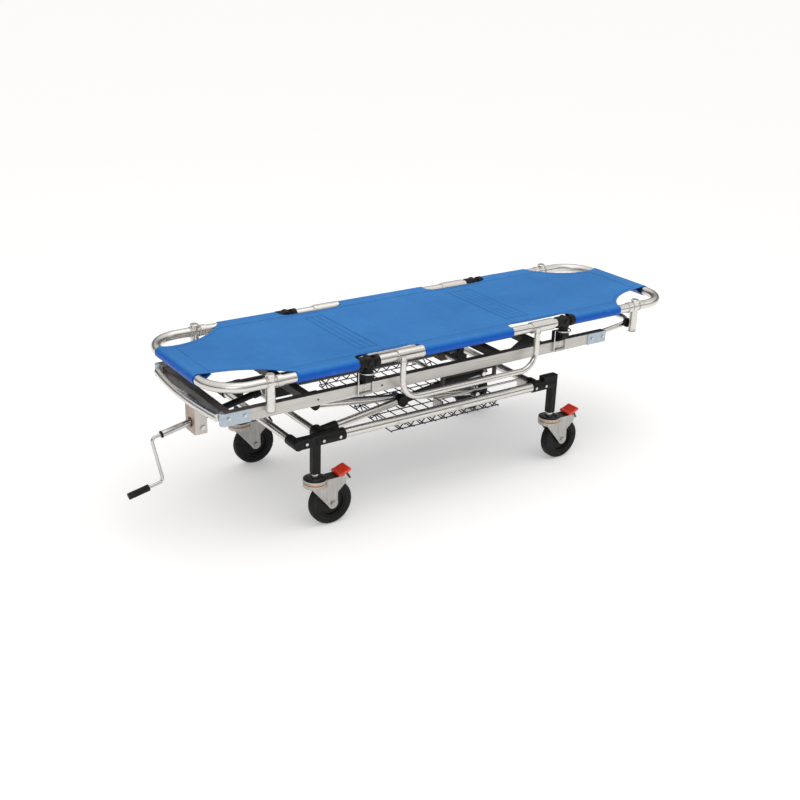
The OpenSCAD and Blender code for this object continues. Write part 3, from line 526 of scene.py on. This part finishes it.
class Gather:
    """Collects several shapes into one mesh."""

    def __init__(self):
        self.verts = []
        self.faces = []

    def add(self, verts, faces):
        start = len(self.verts)
        self.verts += verts
        self.faces += [tuple(start + i for i in face) for face in faces]

    def build(self, name, material, body, smooth=True):
        piece = mesh_object(name, self.verts, self.faces, material, smooth)
        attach(piece, body)
        return piece


def weld_bead(point, direction, tube_r, segments=72):
    """A rippled ring of weld round a tube of radius tube_r."""
    verts = []
    faces = []
    for i in range(segments):
        angle = 2 * math.pi * i / segments
        ripple = BEAD_R * (1 + 0.16 * math.sin(i * 2.6) + 0.08 * math.sin(i * 1.1))
        here = i * BEAD_STEPS
        there = ((i + 1) % segments) * BEAD_STEPS
        for k in range(BEAD_STEPS):
            turn = 2 * math.pi * k / BEAD_STEPS
            r = tube_r + ripple * math.cos(turn)
            verts.append(Vector((r * math.cos(angle), r * math.sin(angle), ripple * math.sin(turn))))
            after = (k + 1) % BEAD_STEPS
            faces.append((here + k, there + k, there + after, here + after))
    return placed(verts, frame_at(point, direction)), faces


# ---- Cloth ----
def half_width(x):
    """Half the sheet's width at x from the litter's middle."""
    far = abs(x) - ARC_CENTRE[0]
    if abs(far) < ARC_R:
        arc = ARC_CENTRE[1] - math.sqrt(ARC_R ** 2 - far ** 2)
        if arc < SIDE_Y:
            return arc
    for low, high in BITES:
        if low < x < high:
            near = min(x - low, high - x)
            if near >= BITE_R:
                return BITE_Y
            return BITE_Y + BITE_R - math.sqrt(BITE_R ** 2 - (BITE_R - near) ** 2)
    return SIDE_Y


def rolled(x):
    """True where the cloth is sewn round the side tube."""
    return ROLL_MID[0] <= x <= ROLL_MID[1] or ROLL_END[0] <= abs(x) <= ROLL_END[1]


def hem_y(x):
    """Distance of the hem's stitch line from the centre line at x."""
    return min(SIDE_Y - HEM_IN, half_width(x) - HEM_EDGE)


def sheet_grid():
    """X places, vertices and faces of the flat sheet that the simulation hangs."""
    xs = np.linspace(-LOOP_X, LOOP_X, SIM_X)
    shares = np.linspace(-1, 1, SIM_Y)
    verts = []
    for x in xs:
        verts += [Vector((x, share * half_width(x), 0)) for share in shares]
    faces = [(i * SIM_Y + j, (i + 1) * SIM_Y + j, (i + 1) * SIM_Y + j + 1, i * SIM_Y + j + 1)
             for i in range(SIM_X - 1) for j in range(SIM_Y - 1)]
    return xs, verts, faces


def add_cloth_physics(sheet):
    """Slightly shrunk, fairly stiff cloth, held by the vertex group "held"."""
    modifier = sheet.modifiers.new("hang", "CLOTH")
    settings = modifier.settings
    settings.quality = 6
    settings.mass = 0.35
    settings.tension_stiffness = 60
    settings.compression_stiffness = 60
    settings.shear_stiffness = 25
    settings.bending_stiffness = 2.5
    settings.shrink_min = -0.0035
    settings.vertex_group_mass = "held"
    modifier.collision_settings.use_collision = False
    modifier.point_cache.frame_start = 1
    modifier.point_cache.frame_end = SIM_FRAMES


def hang_cloth():
    """Sag of the sheet as a grid of moves over (x, share of the half width), by cloth simulation."""
    xs, verts, faces = sheet_grid()
    rest = np.array([tuple(v) for v in verts])
    for v in verts:
        v.z += 0.0015 * noise.noise(v * 9.0)
    sheet = mesh_object("cloth_sim", verts, faces, CLOTH)
    held = sheet.vertex_groups.new(name="held")
    pinned = [i * SIM_Y + j for i, x in enumerate(xs) for j in range(SIM_Y)
              if i in (0, SIM_X - 1) or (j in (0, SIM_Y - 1) and rolled(x))]
    held.add(pinned, 1.0, "REPLACE")
    add_cloth_physics(sheet)
    scene = bpy.context.scene
    for step in range(1, SIM_FRAMES + 1):
        scene.frame_set(step)
    settled = sheet.evaluated_get(bpy.context.evaluated_depsgraph_get())
    moved = np.array([tuple(v.co) for v in settled.data.vertices]) - rest
    scene.frame_set(1)
    bpy.data.objects.remove(sheet)
    length = np.linalg.norm(moved, axis=1, keepdims=True)
    moved *= SAG_CAP / (SAG_CAP + length)
    return moved.reshape(SIM_X, SIM_Y, 3)


def sag_at(x, share):
    """Move of the hung sheet at a place, read between the grid's four nearest points."""
    u = (x / LOOP_X + 1) / 2 * (SIM_X - 1)
    v = (share + 1) / 2 * (SIM_Y - 1)
    i = min(max(int(u), 0), SIM_X - 2)
    j = min(max(int(v), 0), SIM_Y - 2)
    a = u - i
    b = v - j
    return ((1 - a) * ((1 - b) * SAG[i, j] + b * SAG[i, j + 1])
            + a * ((1 - b) * SAG[i + 1, j] + b * SAG[i + 1, j + 1]))


def sunk(distance):
    """Depth of a stitch line's groove at a distance from its middle."""
    return GROOVE * max(0.0, 1 - distance / LINE_W)


def sewn_relief(x, y):
    """Height that sewing adds at a point of the sheet: a double hem, sunk stitch lines and puckers."""
    outside = max(abs(y) - hem_y(x), abs(x) - (LOOP_X - HEM_IN))
    wave = math.sin(x * 270 + 3 * noise.noise((x * 12, y * 12, 0)))
    height = HEM_STEP * min(1.0, max(0.0, outside / LINE_W)) - sunk(abs(outside))
    height += PUCKER * wave * math.exp(-abs(outside) / PUCKER_FADE)
    if abs(y) > LINE_HALF + LINE_W:
        return height
    for line in FOOT_LINES + HEAD_LINES:
        near = abs(x - line)
        if near < 2 * LINE_PUCKER_FADE:
            wave = math.sin(y * 300 + line * 90)
            height += PUCKER * 0.7 * wave * math.exp(-near / LINE_PUCKER_FADE) - sunk(near)
    return height


def sheet_point(x, y):
    """A point of the cloth's upper surface, in the row frame."""
    width = half_width(x)
    move = sag_at(x, max(-1.0, min(1.0, y / width)))
    held = min(1.0, (width - abs(y)) / 0.01) if rolled(x) else 1.0
    crease = 0.0007 * noise.noise((x * 7, y * 16, 3.0)) + 0.0004 * noise.noise((x * 30, y * 22, 8.0))
    z = LITTER_Z + CLOTH_R + move[2] + held * crease + sewn_relief(x, y)
    return Vector((MID_X + x + move[0], y + move[1], z))


def columns():
    """Places along X where the sheet has a row of vertices, closer at curved edges and stitch lines."""
    xs = set(np.round(np.arange(-LOOP_X, LOOP_X, COLUMN_STEP), 5).tolist())
    xs |= {-LOOP_X, LOOP_X, ROLL_MID[0], ROLL_MID[1]}
    for sign in (-1, 1):
        xs |= {sign * ROLL_END[0], sign * ROLL_END[1], sign * (LOOP_X - HEM_IN)}
        xs |= {sign * (LOOP_X - HEM_IN + LINE_W), sign * (LOOP_X - HEM_IN - LINE_W)}
    for low, high in BITES:
        for step in range(1, BITE_COLUMNS + 1):
            inset = BITE_R * (1 - math.cos(step * math.pi / 2 / BITE_COLUMNS))
            xs |= {low + inset, high - inset}
    for line in FOOT_LINES + HEAD_LINES:
        xs |= {line, line - LINE_W, line + LINE_W}
    ordered = sorted(xs)
    keep = [ordered[0]]
    for x in ordered[1:]:
        if x - keep[-1] > COLUMN_GAP:
            keep.append(x)
    keep[-1] = LOOP_X
    return keep


def row_places(x):
    """Y of each vertex across the sheet at x."""
    hem = hem_y(x)
    margin = half_width(x) - hem - LINE_W
    outer = [hem - LINE_W, hem, hem + LINE_W]
    outer += [hem + LINE_W + margin * share for share in EDGE_SHARES]
    inner = [hem * (2 * k / INNER_ROWS - 1) for k in range(1, INNER_ROWS)]
    return [-y for y in reversed(outer)] + inner + outer


def bind_angles():
    """Angles round a tube from its top to where the cloth leaves it for the hem."""
    hem_drop = TUBE_R + CLOTH_GAP
    reach = math.hypot(HEM_IN, hem_drop)
    leave = math.atan2(hem_drop, -HEM_IN) + math.acos(CLOTH_R / reach) - 2 * math.pi
    return [math.pi / 2 + (leave - math.pi / 2) * k / BIND_STEPS for k in range(1, BIND_STEPS + 1)]


def stitch_rows(bm, rows):
    """Faces between neighbouring rows of vertices; None is a break between them."""
    for a, b in zip(rows, rows[1:]):
        if a is None or b is None:
            continue
        for k in range(len(a) - 1):
            bm.faces.new((a[k], b[k], b[k + 1], a[k + 1]))


def add_side_roll(bm, xs, edge_verts, side):
    """Rolls the cloth round a side tube and back up to the hem, where it is sewn."""
    rows = []
    for x, edge in zip(xs, edge_verts):
        if not rolled(x):
            rows.append(None)
            continue
        row = [edge]
        for angle in bind_angles():
            y = side * (SIDE_Y + CLOTH_R * math.cos(angle))
            row.append(bm.verts.new((MID_X + x, y, LITTER_Z + CLOTH_R * math.sin(angle))))
        tail = row[-1].co.copy()
        hem = sheet_point(x, side * hem_y(x))
        target = Vector((MID_X + x, hem.y, hem.z - TAIL_DROP))
        row += [bm.verts.new(tail.lerp(target, share)) for share in TAIL_SHARES]
        rows.append(row)
    stitch_rows(bm, rows)


def add_end_roll(bm, edge_verts, sign):
    """Rolls the cloth round the end loop's cross tube and back up to the hem."""
    ys = row_places(sign * LOOP_X)
    rows = [edge_verts]
    for angle in bind_angles():
        x = MID_X + sign * (LOOP_X + CLOTH_R * math.cos(angle))
        z = LITTER_Z + CLOTH_R * math.sin(angle)
        rows.append([bm.verts.new((x, y, z)) for y in ys])
    tail = rows[-1]
    hem_x = sign * (LOOP_X - HEM_IN)
    targets = [Vector((MID_X + hem_x, y, sheet_point(hem_x, y).z - TAIL_DROP)) for y in ys]
    for share in TAIL_SHARES:
        rows.append([bm.verts.new(vert.co.lerp(to, share)) for vert, to in zip(tail, targets)])
    stitch_rows(bm, rows)


def face_outward(bm):
    """Turns the sheet's faces so that its top faces up."""
    def nearest_top(face):
        middle = face.calc_center_median()
        return middle.z - abs(middle.y)

    bmesh.ops.recalc_face_normals(bm, faces=bm.faces)
    bm.faces.ensure_lookup_table()
    if max(bm.faces, key=nearest_top).normal.z < 0:
        bmesh.ops.reverse_faces(bm, faces=bm.faces)


def sheet_mesh(name, low, high):
    """The sheet between two X places as one surface, with its rolls round the tubes."""
    xs = [x for x in COLUMN_X if low - TINY <= x <= high + TINY]
    bm = bmesh.new()
    grid = [[bm.verts.new(sheet_point(x, y)) for y in row_places(x)] for x in xs]
    stitch_rows(bm, grid)
    add_side_roll(bm, xs, [row[0] for row in grid], -1)
    add_side_roll(bm, xs, [row[-1] for row in grid], 1)
    if abs(xs[0] + LOOP_X) < TINY:
        add_end_roll(bm, grid[0], -1)
    if abs(xs[-1] - LOOP_X) < TINY:
        add_end_roll(bm, grid[-1], 1)
    face_outward(bm)
    mesh = bpy.data.meshes.new(name)
    bm.to_mesh(mesh)
    bm.free()
    return mesh


def thicken(piece):
    """Gives the surface its thickness, below and inside it."""
    modifier = piece.modifiers.new("thick", "SOLIDIFY")
    modifier.thickness = CLOTH_T
    modifier.offset = -1
    solid = bpy.data.meshes.new_from_object(piece.evaluated_get(bpy.context.evaluated_depsgraph_get()))
    piece.modifiers.clear()
    piece.data = solid


def cloth_piece(name, low, high, bodies, stands_for):
    """One part of the cloth between two X places, riding one body, or left unattached where it lies when
    it spans two.
    """
    piece = bpy.data.objects.new(name, sheet_mesh(name, low, high))
    bpy.context.scene.collection.objects.link(piece)
    thicken(piece)
    mesh = piece.data
    mesh.materials.clear()
    mesh.materials.append(CLOTH)
    mesh.materials.append(THREAD)
    add_stitches(mesh, low, high)
    for face in mesh.polygons:
        face.use_smooth = True
    facing = mesh.attributes.new("facing", "FLOAT", "POINT")
    facing.data.foreach_set("value", [v.normal.z for v in mesh.vertices])
    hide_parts(stands_for)
    if len(bodies) == 1:
        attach(piece, bodies[0])
        return
    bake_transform(piece)


def stitch_paths():
    """Seams as functions of the distance along them: (start, end, point at a distance)."""
    end_x = LOOP_X - HEM_IN
    paths = []
    for side in (-1, 1):
        paths.append((-end_x, end_x, lambda s, side=side: (s, side * hem_y(s))))
        for low, high in BITES:
            paths.append((low + BITE_R, high - BITE_R,
                          lambda s, side=side: (s, side * (half_width(s) - BITE_SEAM_IN))))
    for sign in (-1, 1):
        paths.append((-hem_y(end_x), hem_y(end_x), lambda s, sign=sign: (sign * end_x, s)))
    for line in FOOT_LINES + HEAD_LINES:
        paths.append((-LINE_HALF, LINE_HALF, lambda s, line=line: (line, s)))
    for lines in (FOOT_LINES, HEAD_LINES):
        for y in (-LINE_HALF, LINE_HALF):
            paths.append((lines[0], lines[-1], lambda s, y=y: (s, y)))
    return paths


def stitch(here, toward):
    """Verts and faces of one stitch: a thread that rises from the cloth and dips back in."""
    run = (toward - here).normalized()
    across = run.cross(Vector((0, 0, 1))).normalized()
    up = across.cross(run)
    turns = [2 * math.pi * k / STITCH_SIDES for k in range(STITCH_SIDES)]
    verts = []
    for radius, along in STITCH_PROFILE:
        middle = here + run * (along * STITCH_LEN) + up * (2 * SKIN)
        reach = radius * STITCH_W + SKIN
        verts += [middle + (across * math.cos(turn) + up * math.sin(turn)) * reach for turn in turns]
    faces = []
    last = (len(STITCH_PROFILE) - 1) * STITCH_SIDES
    for ring in range(0, last, STITCH_SIDES):
        for k in range(STITCH_SIDES):
            after = (k + 1) % STITCH_SIDES
            faces.append((ring + k, ring + after, ring + after + STITCH_SIDES, ring + k + STITCH_SIDES))
    faces.append(tuple(reversed(range(STITCH_SIDES))))
    faces.append(tuple(range(last, last + STITCH_SIDES)))
    return verts, faces


def add_stitches(mesh, low, high):
    """Joins the seams' raised stitches between low and high to the cloth mesh, as its second material."""
    seams = Gather()
    for start, stop, path in stitch_paths():
        for i in range(int((stop - start) / STITCH_STEP)):
            s = start + (i + 0.5) * STITCH_STEP
            x, y = path(s)
            if low <= x < high:
                toward = sheet_point(*path(s + STITCH_STEP / 2))
                seams.add(*stitch(sheet_point(x, y), toward))
    bm = bmesh.new()
    bm.from_mesh(mesh)
    made = [bm.verts.new(v) for v in seams.verts]
    for face in seams.faces:
        bm.faces.new([made[i] for i in face]).material_index = 1
    bm.to_mesh(mesh)
    bm.free()


def make_cloth():
    foot_seam = FOOT_LINES[-1]
    head_seam = HEAD_LINES[0]
    cloth_piece("cloth_foot", -LOOP_X, foot_seam, ["litter", "foot_section"], "fabric_foot")
    cloth_piece("cloth_mid", foot_seam, head_seam, ["litter"], "fabric_mid")
    cloth_piece("cloth_head", head_seam, LOOP_X, ["litter", "head_section"], "fabric_head")


# ---- Casters ----
def tread_radius(outer, half, height):
    """Radius of the tread at a height across it: crowned, round-shouldered and grooved."""
    shoulder = max(0.0, abs(height) - (half - SHOULDER)) / SHOULDER
    r = outer - CROWN * (height / half) ** 2
    r -= SHOULDER_DROP * (1 - math.sqrt(max(0.0, 1 - shoulder ** 2)))
    for at in TREAD_GROOVES:
        r -= TREAD_GROOVE_DEPTH * max(0.0, 1 - abs(height - at) / TREAD_GROOVE_HALF)
    return r


def tyre_profile(outer, half):
    """Closed (radius, height) outline: the tread, then each side wall with its rib."""
    heights = [half * (2 * k / TREAD_STEPS - 1) for k in range(TREAD_STEPS + 1)]
    tread = [(tread_radius(outer, half, h), h) for h in heights]
    wall = [(outer - 0.010, 0.0), (outer - 0.0115, 0.0008), (outer - 0.013, 0.0),
            (TYRE_BORE + 0.006, -0.0014), (TYRE_BORE + 0.0035, 0.0), (TYRE_BORE, -0.0008)]
    right = [(r, half + h) for r, h in wall]
    left = [(r, -half - h) for r, h in reversed(wall)]
    return tread + right + left


def make_tyre(end, side):
    """Solid tyre: crowned tread with two grooves, ribbed side walls."""
    node = f"caster_tyre_{end}_{side}"
    low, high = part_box(node)
    verts, faces = turned(tyre_profile((high.z - low.z) / 2, (high.y - low.y) / 2), 128)
    shape = Gather()
    shape.add(placed(verts, frame_at((low + high) / 2, Vector((0, 1, 0)))), faces)
    piece = shape.build(f"tyre_{end}_{side}", TYRE, f"wheel_{end}_{side}")
    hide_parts(node)


def torus(radius, thick, height):
    """Verts and faces of a round ring about Z."""
    turns = [2 * math.pi * k / 14 for k in range(14)]
    return turned([(radius + thick * math.cos(t), height + thick * math.sin(t)) for t in turns], 96)


def make_caster_details(end, side):
    """Orange seal in the swivel head's groove, and the rolled brass lip over it."""
    stem = pivots[f"caster_{end}_{side}_swivel"]
    place = Matrix.Translation((stem.x, stem.y, 0))
    head_r = stem.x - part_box(f"caster_fork_{end}_{side}")[0].x
    rings = {
        "seal": (SEAL, head_r - 0.0018, 0.0023, SEAL_Z),
        "race": (RACE, head_r - 0.0004, 0.0016, LIP_Z),
    }
    for kind, (material, radius, thick, height) in rings.items():
        shape = Gather()
        verts, faces = torus(radius, thick, height)
        shape.add(placed(verts, place), faces)
        shape.build(f"swivel_{kind}_{end}_{side}", material, f"caster_{end}_{side}")


# ---- Frame details ----
def make_crank_ring():
    """Black bush at the outer end of the crank's sleeve."""
    axis = pivot_axis("crank_turn")
    start = pivots["crank_turn"]
    face = (start.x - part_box("crank_bracket")[0].x) / axis.x
    rim = SLEEVE_R + 0.0011
    profile = [(CRANK_R, -0.004), (SLEEVE_R + 0.0003, -0.004), (rim, -0.003), (rim, 0.0012),
               (SLEEVE_R, 0.0022), (CRANK_R, 0.0026)]
    verts, faces = turned(profile, 48)
    shape = Gather()
    shape.add(placed(verts, frame_at(start - axis * (face + SLEEVE_OUT), -axis)), faces)
    shape.build("crank_sleeve_bush", KNUCKLE, "crank")


def make_bow_ends():
    """Domed ends that close the foot bow's tube where it is welded to the cross member."""
    low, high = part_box("foot_bow")
    radius = (high.z - low.z) / 2
    turns = [math.pi * k / 20 - math.pi / 2 for k in range(21)]
    dome = [(radius * math.cos(t), radius * math.sin(t)) for t in turns]
    shape = Gather()
    for edge in (low.y, high.y):
        rim = [v.co for v in nodes["foot_bow"].data.vertices if abs(v.co.y - edge) < BOW_RIM]
        centre = sum(rim, Vector()) / len(rim)
        verts, faces = turned(dome, 32)
        shape.add(placed(verts, Matrix.Translation(centre)), faces)
    shape.build("foot_bow_ends", ALLOY_Y, "cart_top")


def make_leg_welds(end):
    """Weld beads at both faces of each corner leg's collar on its tube."""
    shape = Gather()
    for side in (-1, 1):
        for offset in (-LEG_WELD, LEG_WELD):
            at = Vector((MID_X + SIGN[end] * LEG_X + offset, side * SIDE_Y, LITTER_Z))
            shape.add(*weld_bead(at, Vector((1, 0, 0)), TUBE_R + 0.0005))
    shape.build(f"leg_welds_{end}", WELD, f"{end}_section")


def make_guard_welds(side):
    """Weld beads where the guard's legs leave its sleeves."""
    shape = Gather()
    for x in GUARD_LEG_X:
        at = Vector((MID_X + x, SIGN[side] * (SIDE_Y + GUARD_LEG_OUT), LITTER_Z - GUARD_LEG_DROP))
        shape.add(*weld_bead(at, Vector((0, 0, 1)), GUARD_LEG_R))
    shape.build(f"guard_welds_{side}", WELD, f"guard_{side}")


def make_leg_plugs(end):
    """Rounded plugs in the lower ends of the litter's legs."""
    profile = [(0.0, 0.0), (0.0126, 0.0), (0.0126, -0.006), (0.0148, -0.0062), (0.0150, -0.0085),
               (0.0135, -0.0110), (0.009, -0.0125), (0.0, -0.0130)]
    leg_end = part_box(f"{end}_frame")[0].z
    shape = Gather()
    for side in (-1, 1):
        verts, faces = turned(profile, 48)
        at = Vector((MID_X + SIGN[end] * LEG_X, side * SIDE_Y, leg_end + PLUG_TOP))
        shape.add(placed(verts, Matrix.Translation(at)), faces)
    shape.build(f"leg_plugs_{end}", PLUG, f"{end}_section")


# ---- Scene ----
def make_stage():
    corners = [(x * FLOOR_HALF, y * FLOOR_HALF, 0) for x, y in ((-1, -1), (1, -1), (1, 1), (-1, 1))]
    floor = mesh_object("floor", corners, [(0, 1, 2, 3)], floor_material())
    floor.location.z = -FLOOR_DROP


def floor_material():
    look = Look("floor_pale", (0.90, 0.90, 0.90), 0.75)
    look.set(look.surface, {"Emission Color": (1, 1, 1, 1), "Emission Strength": FLOOR_GLOW})
    look.color(look.blend(look.noise(2, 3), (0.905, 0.905, 0.905), (0.895, 0.895, 0.895)))
    return look.material


def make_world():
    """Soft studio: bright above, dim round the horizon for bare metal to reflect, plain to the eye."""
    world = bpy.data.worlds.new("studio")
    bpy.context.scene.world = world
    world.use_nodes = True
    tree = world.node_tree
    sky = tree.nodes.new("ShaderNodeTexCoord")
    split = tree.nodes.new("ShaderNodeSeparateXYZ")
    ramp = tree.nodes.new("ShaderNodeValToRGB")
    tree.links.new(sky.outputs["Generated"], split.inputs[0])
    tree.links.new(split.outputs["Z"], ramp.inputs["Fac"])
    studio = tree.nodes["Background"]
    tree.links.new(ramp.outputs["Color"], studio.inputs["Color"])
    plain = tree.nodes.new("ShaderNodeBackground")
    plain.inputs["Color"].default_value = (SEEN_WHITE, SEEN_WHITE, SEEN_WHITE, 1.0)
    pick = tree.nodes.new("ShaderNodeMixShader")
    path = tree.nodes.new("ShaderNodeLightPath")
    tree.links.new(path.outputs["Is Camera Ray"], pick.inputs["Fac"])
    tree.links.new(studio.outputs["Background"], pick.inputs[1])
    tree.links.new(plain.outputs["Background"], pick.inputs[2])
    tree.links.new(pick.outputs["Shader"], tree.nodes["World Output"].inputs["Surface"])
    while len(ramp.color_ramp.elements) < len(SKY_STOPS):
        ramp.color_ramp.elements.new(0.5)
    for element, (place, value) in zip(ramp.color_ramp.elements, SKY_STOPS):
        element.position = place
        element.color = (value, value * 0.985, value * 0.965, 1.0)


def area_light(name, place, target, size, watts):
    data = bpy.data.lights.new(name, "AREA")
    data.shape = "RECTANGLE"
    data.size, data.size_y = size
    data.energy = watts
    lamp = bpy.data.objects.new(name, data)
    lamp.location = place
    lamp.rotation_mode = "QUATERNION"
    lamp.rotation_quaternion = (Vector(target) - Vector(place)).to_track_quat("-Z", "Y")
    bpy.context.scene.collection.objects.link(lamp)


def make_camera():
    """Camera at its azimuth, elevation and roll, moved sideways and up from the litter's middle."""
    flat = math.cos(CAM_EL)
    back = Vector((math.sin(CAM_AZ) * flat, -math.cos(CAM_AZ) * flat, math.sin(CAM_EL)))
    right = Vector((math.cos(CAM_AZ), math.sin(CAM_AZ), 0))
    up = back.cross(right)
    place = back * CAM_DISTANCE + right * CAM_SHIFT[0] + up * CAM_SHIFT[1] + Vector((MID_X, 0, 0))
    side = right * math.cos(CAM_ROLL) + up * math.sin(CAM_ROLL)
    top = up * math.cos(CAM_ROLL) - right * math.sin(CAM_ROLL)
    turn = Matrix((side, top, back)).transposed().to_4x4()
    data = bpy.data.cameras.new("camera")
    data.lens = CAM_LENS
    camera = bpy.data.objects.new("camera", data)
    camera.matrix_world = Matrix.Translation(place) @ turn
    bpy.context.scene.collection.objects.link(camera)
    bpy.context.scene.camera = camera


dress_frame()
SAG = hang_cloth()
COLUMN_X = columns()
make_cloth()
for end, side in CORNERS:
    make_tyre(end, side)
    make_caster_details(end, side)
make_crank_ring()
make_bow_ends()
for end in ("foot", "head"):
    make_leg_welds(end)
    make_leg_plugs(end)
for side in ("left", "right"):
    make_guard_welds(side)
make_stage()
make_world()
area_light("top", (0.3, -0.4, 3.2), (0, 0, 0.3), (3.5, 2.5), 16)
area_light("key", (-2.6, -3.2, 2.2), (0, 0, 0.4), (2.0, 1.6), 16)
area_light("fill", (3.0, -2.0, 1.6), (0, 0, 0.4), (1.8, 1.6), 5)
make_camera()
bpy.context.scene.view_settings.view_transform = "Standard"
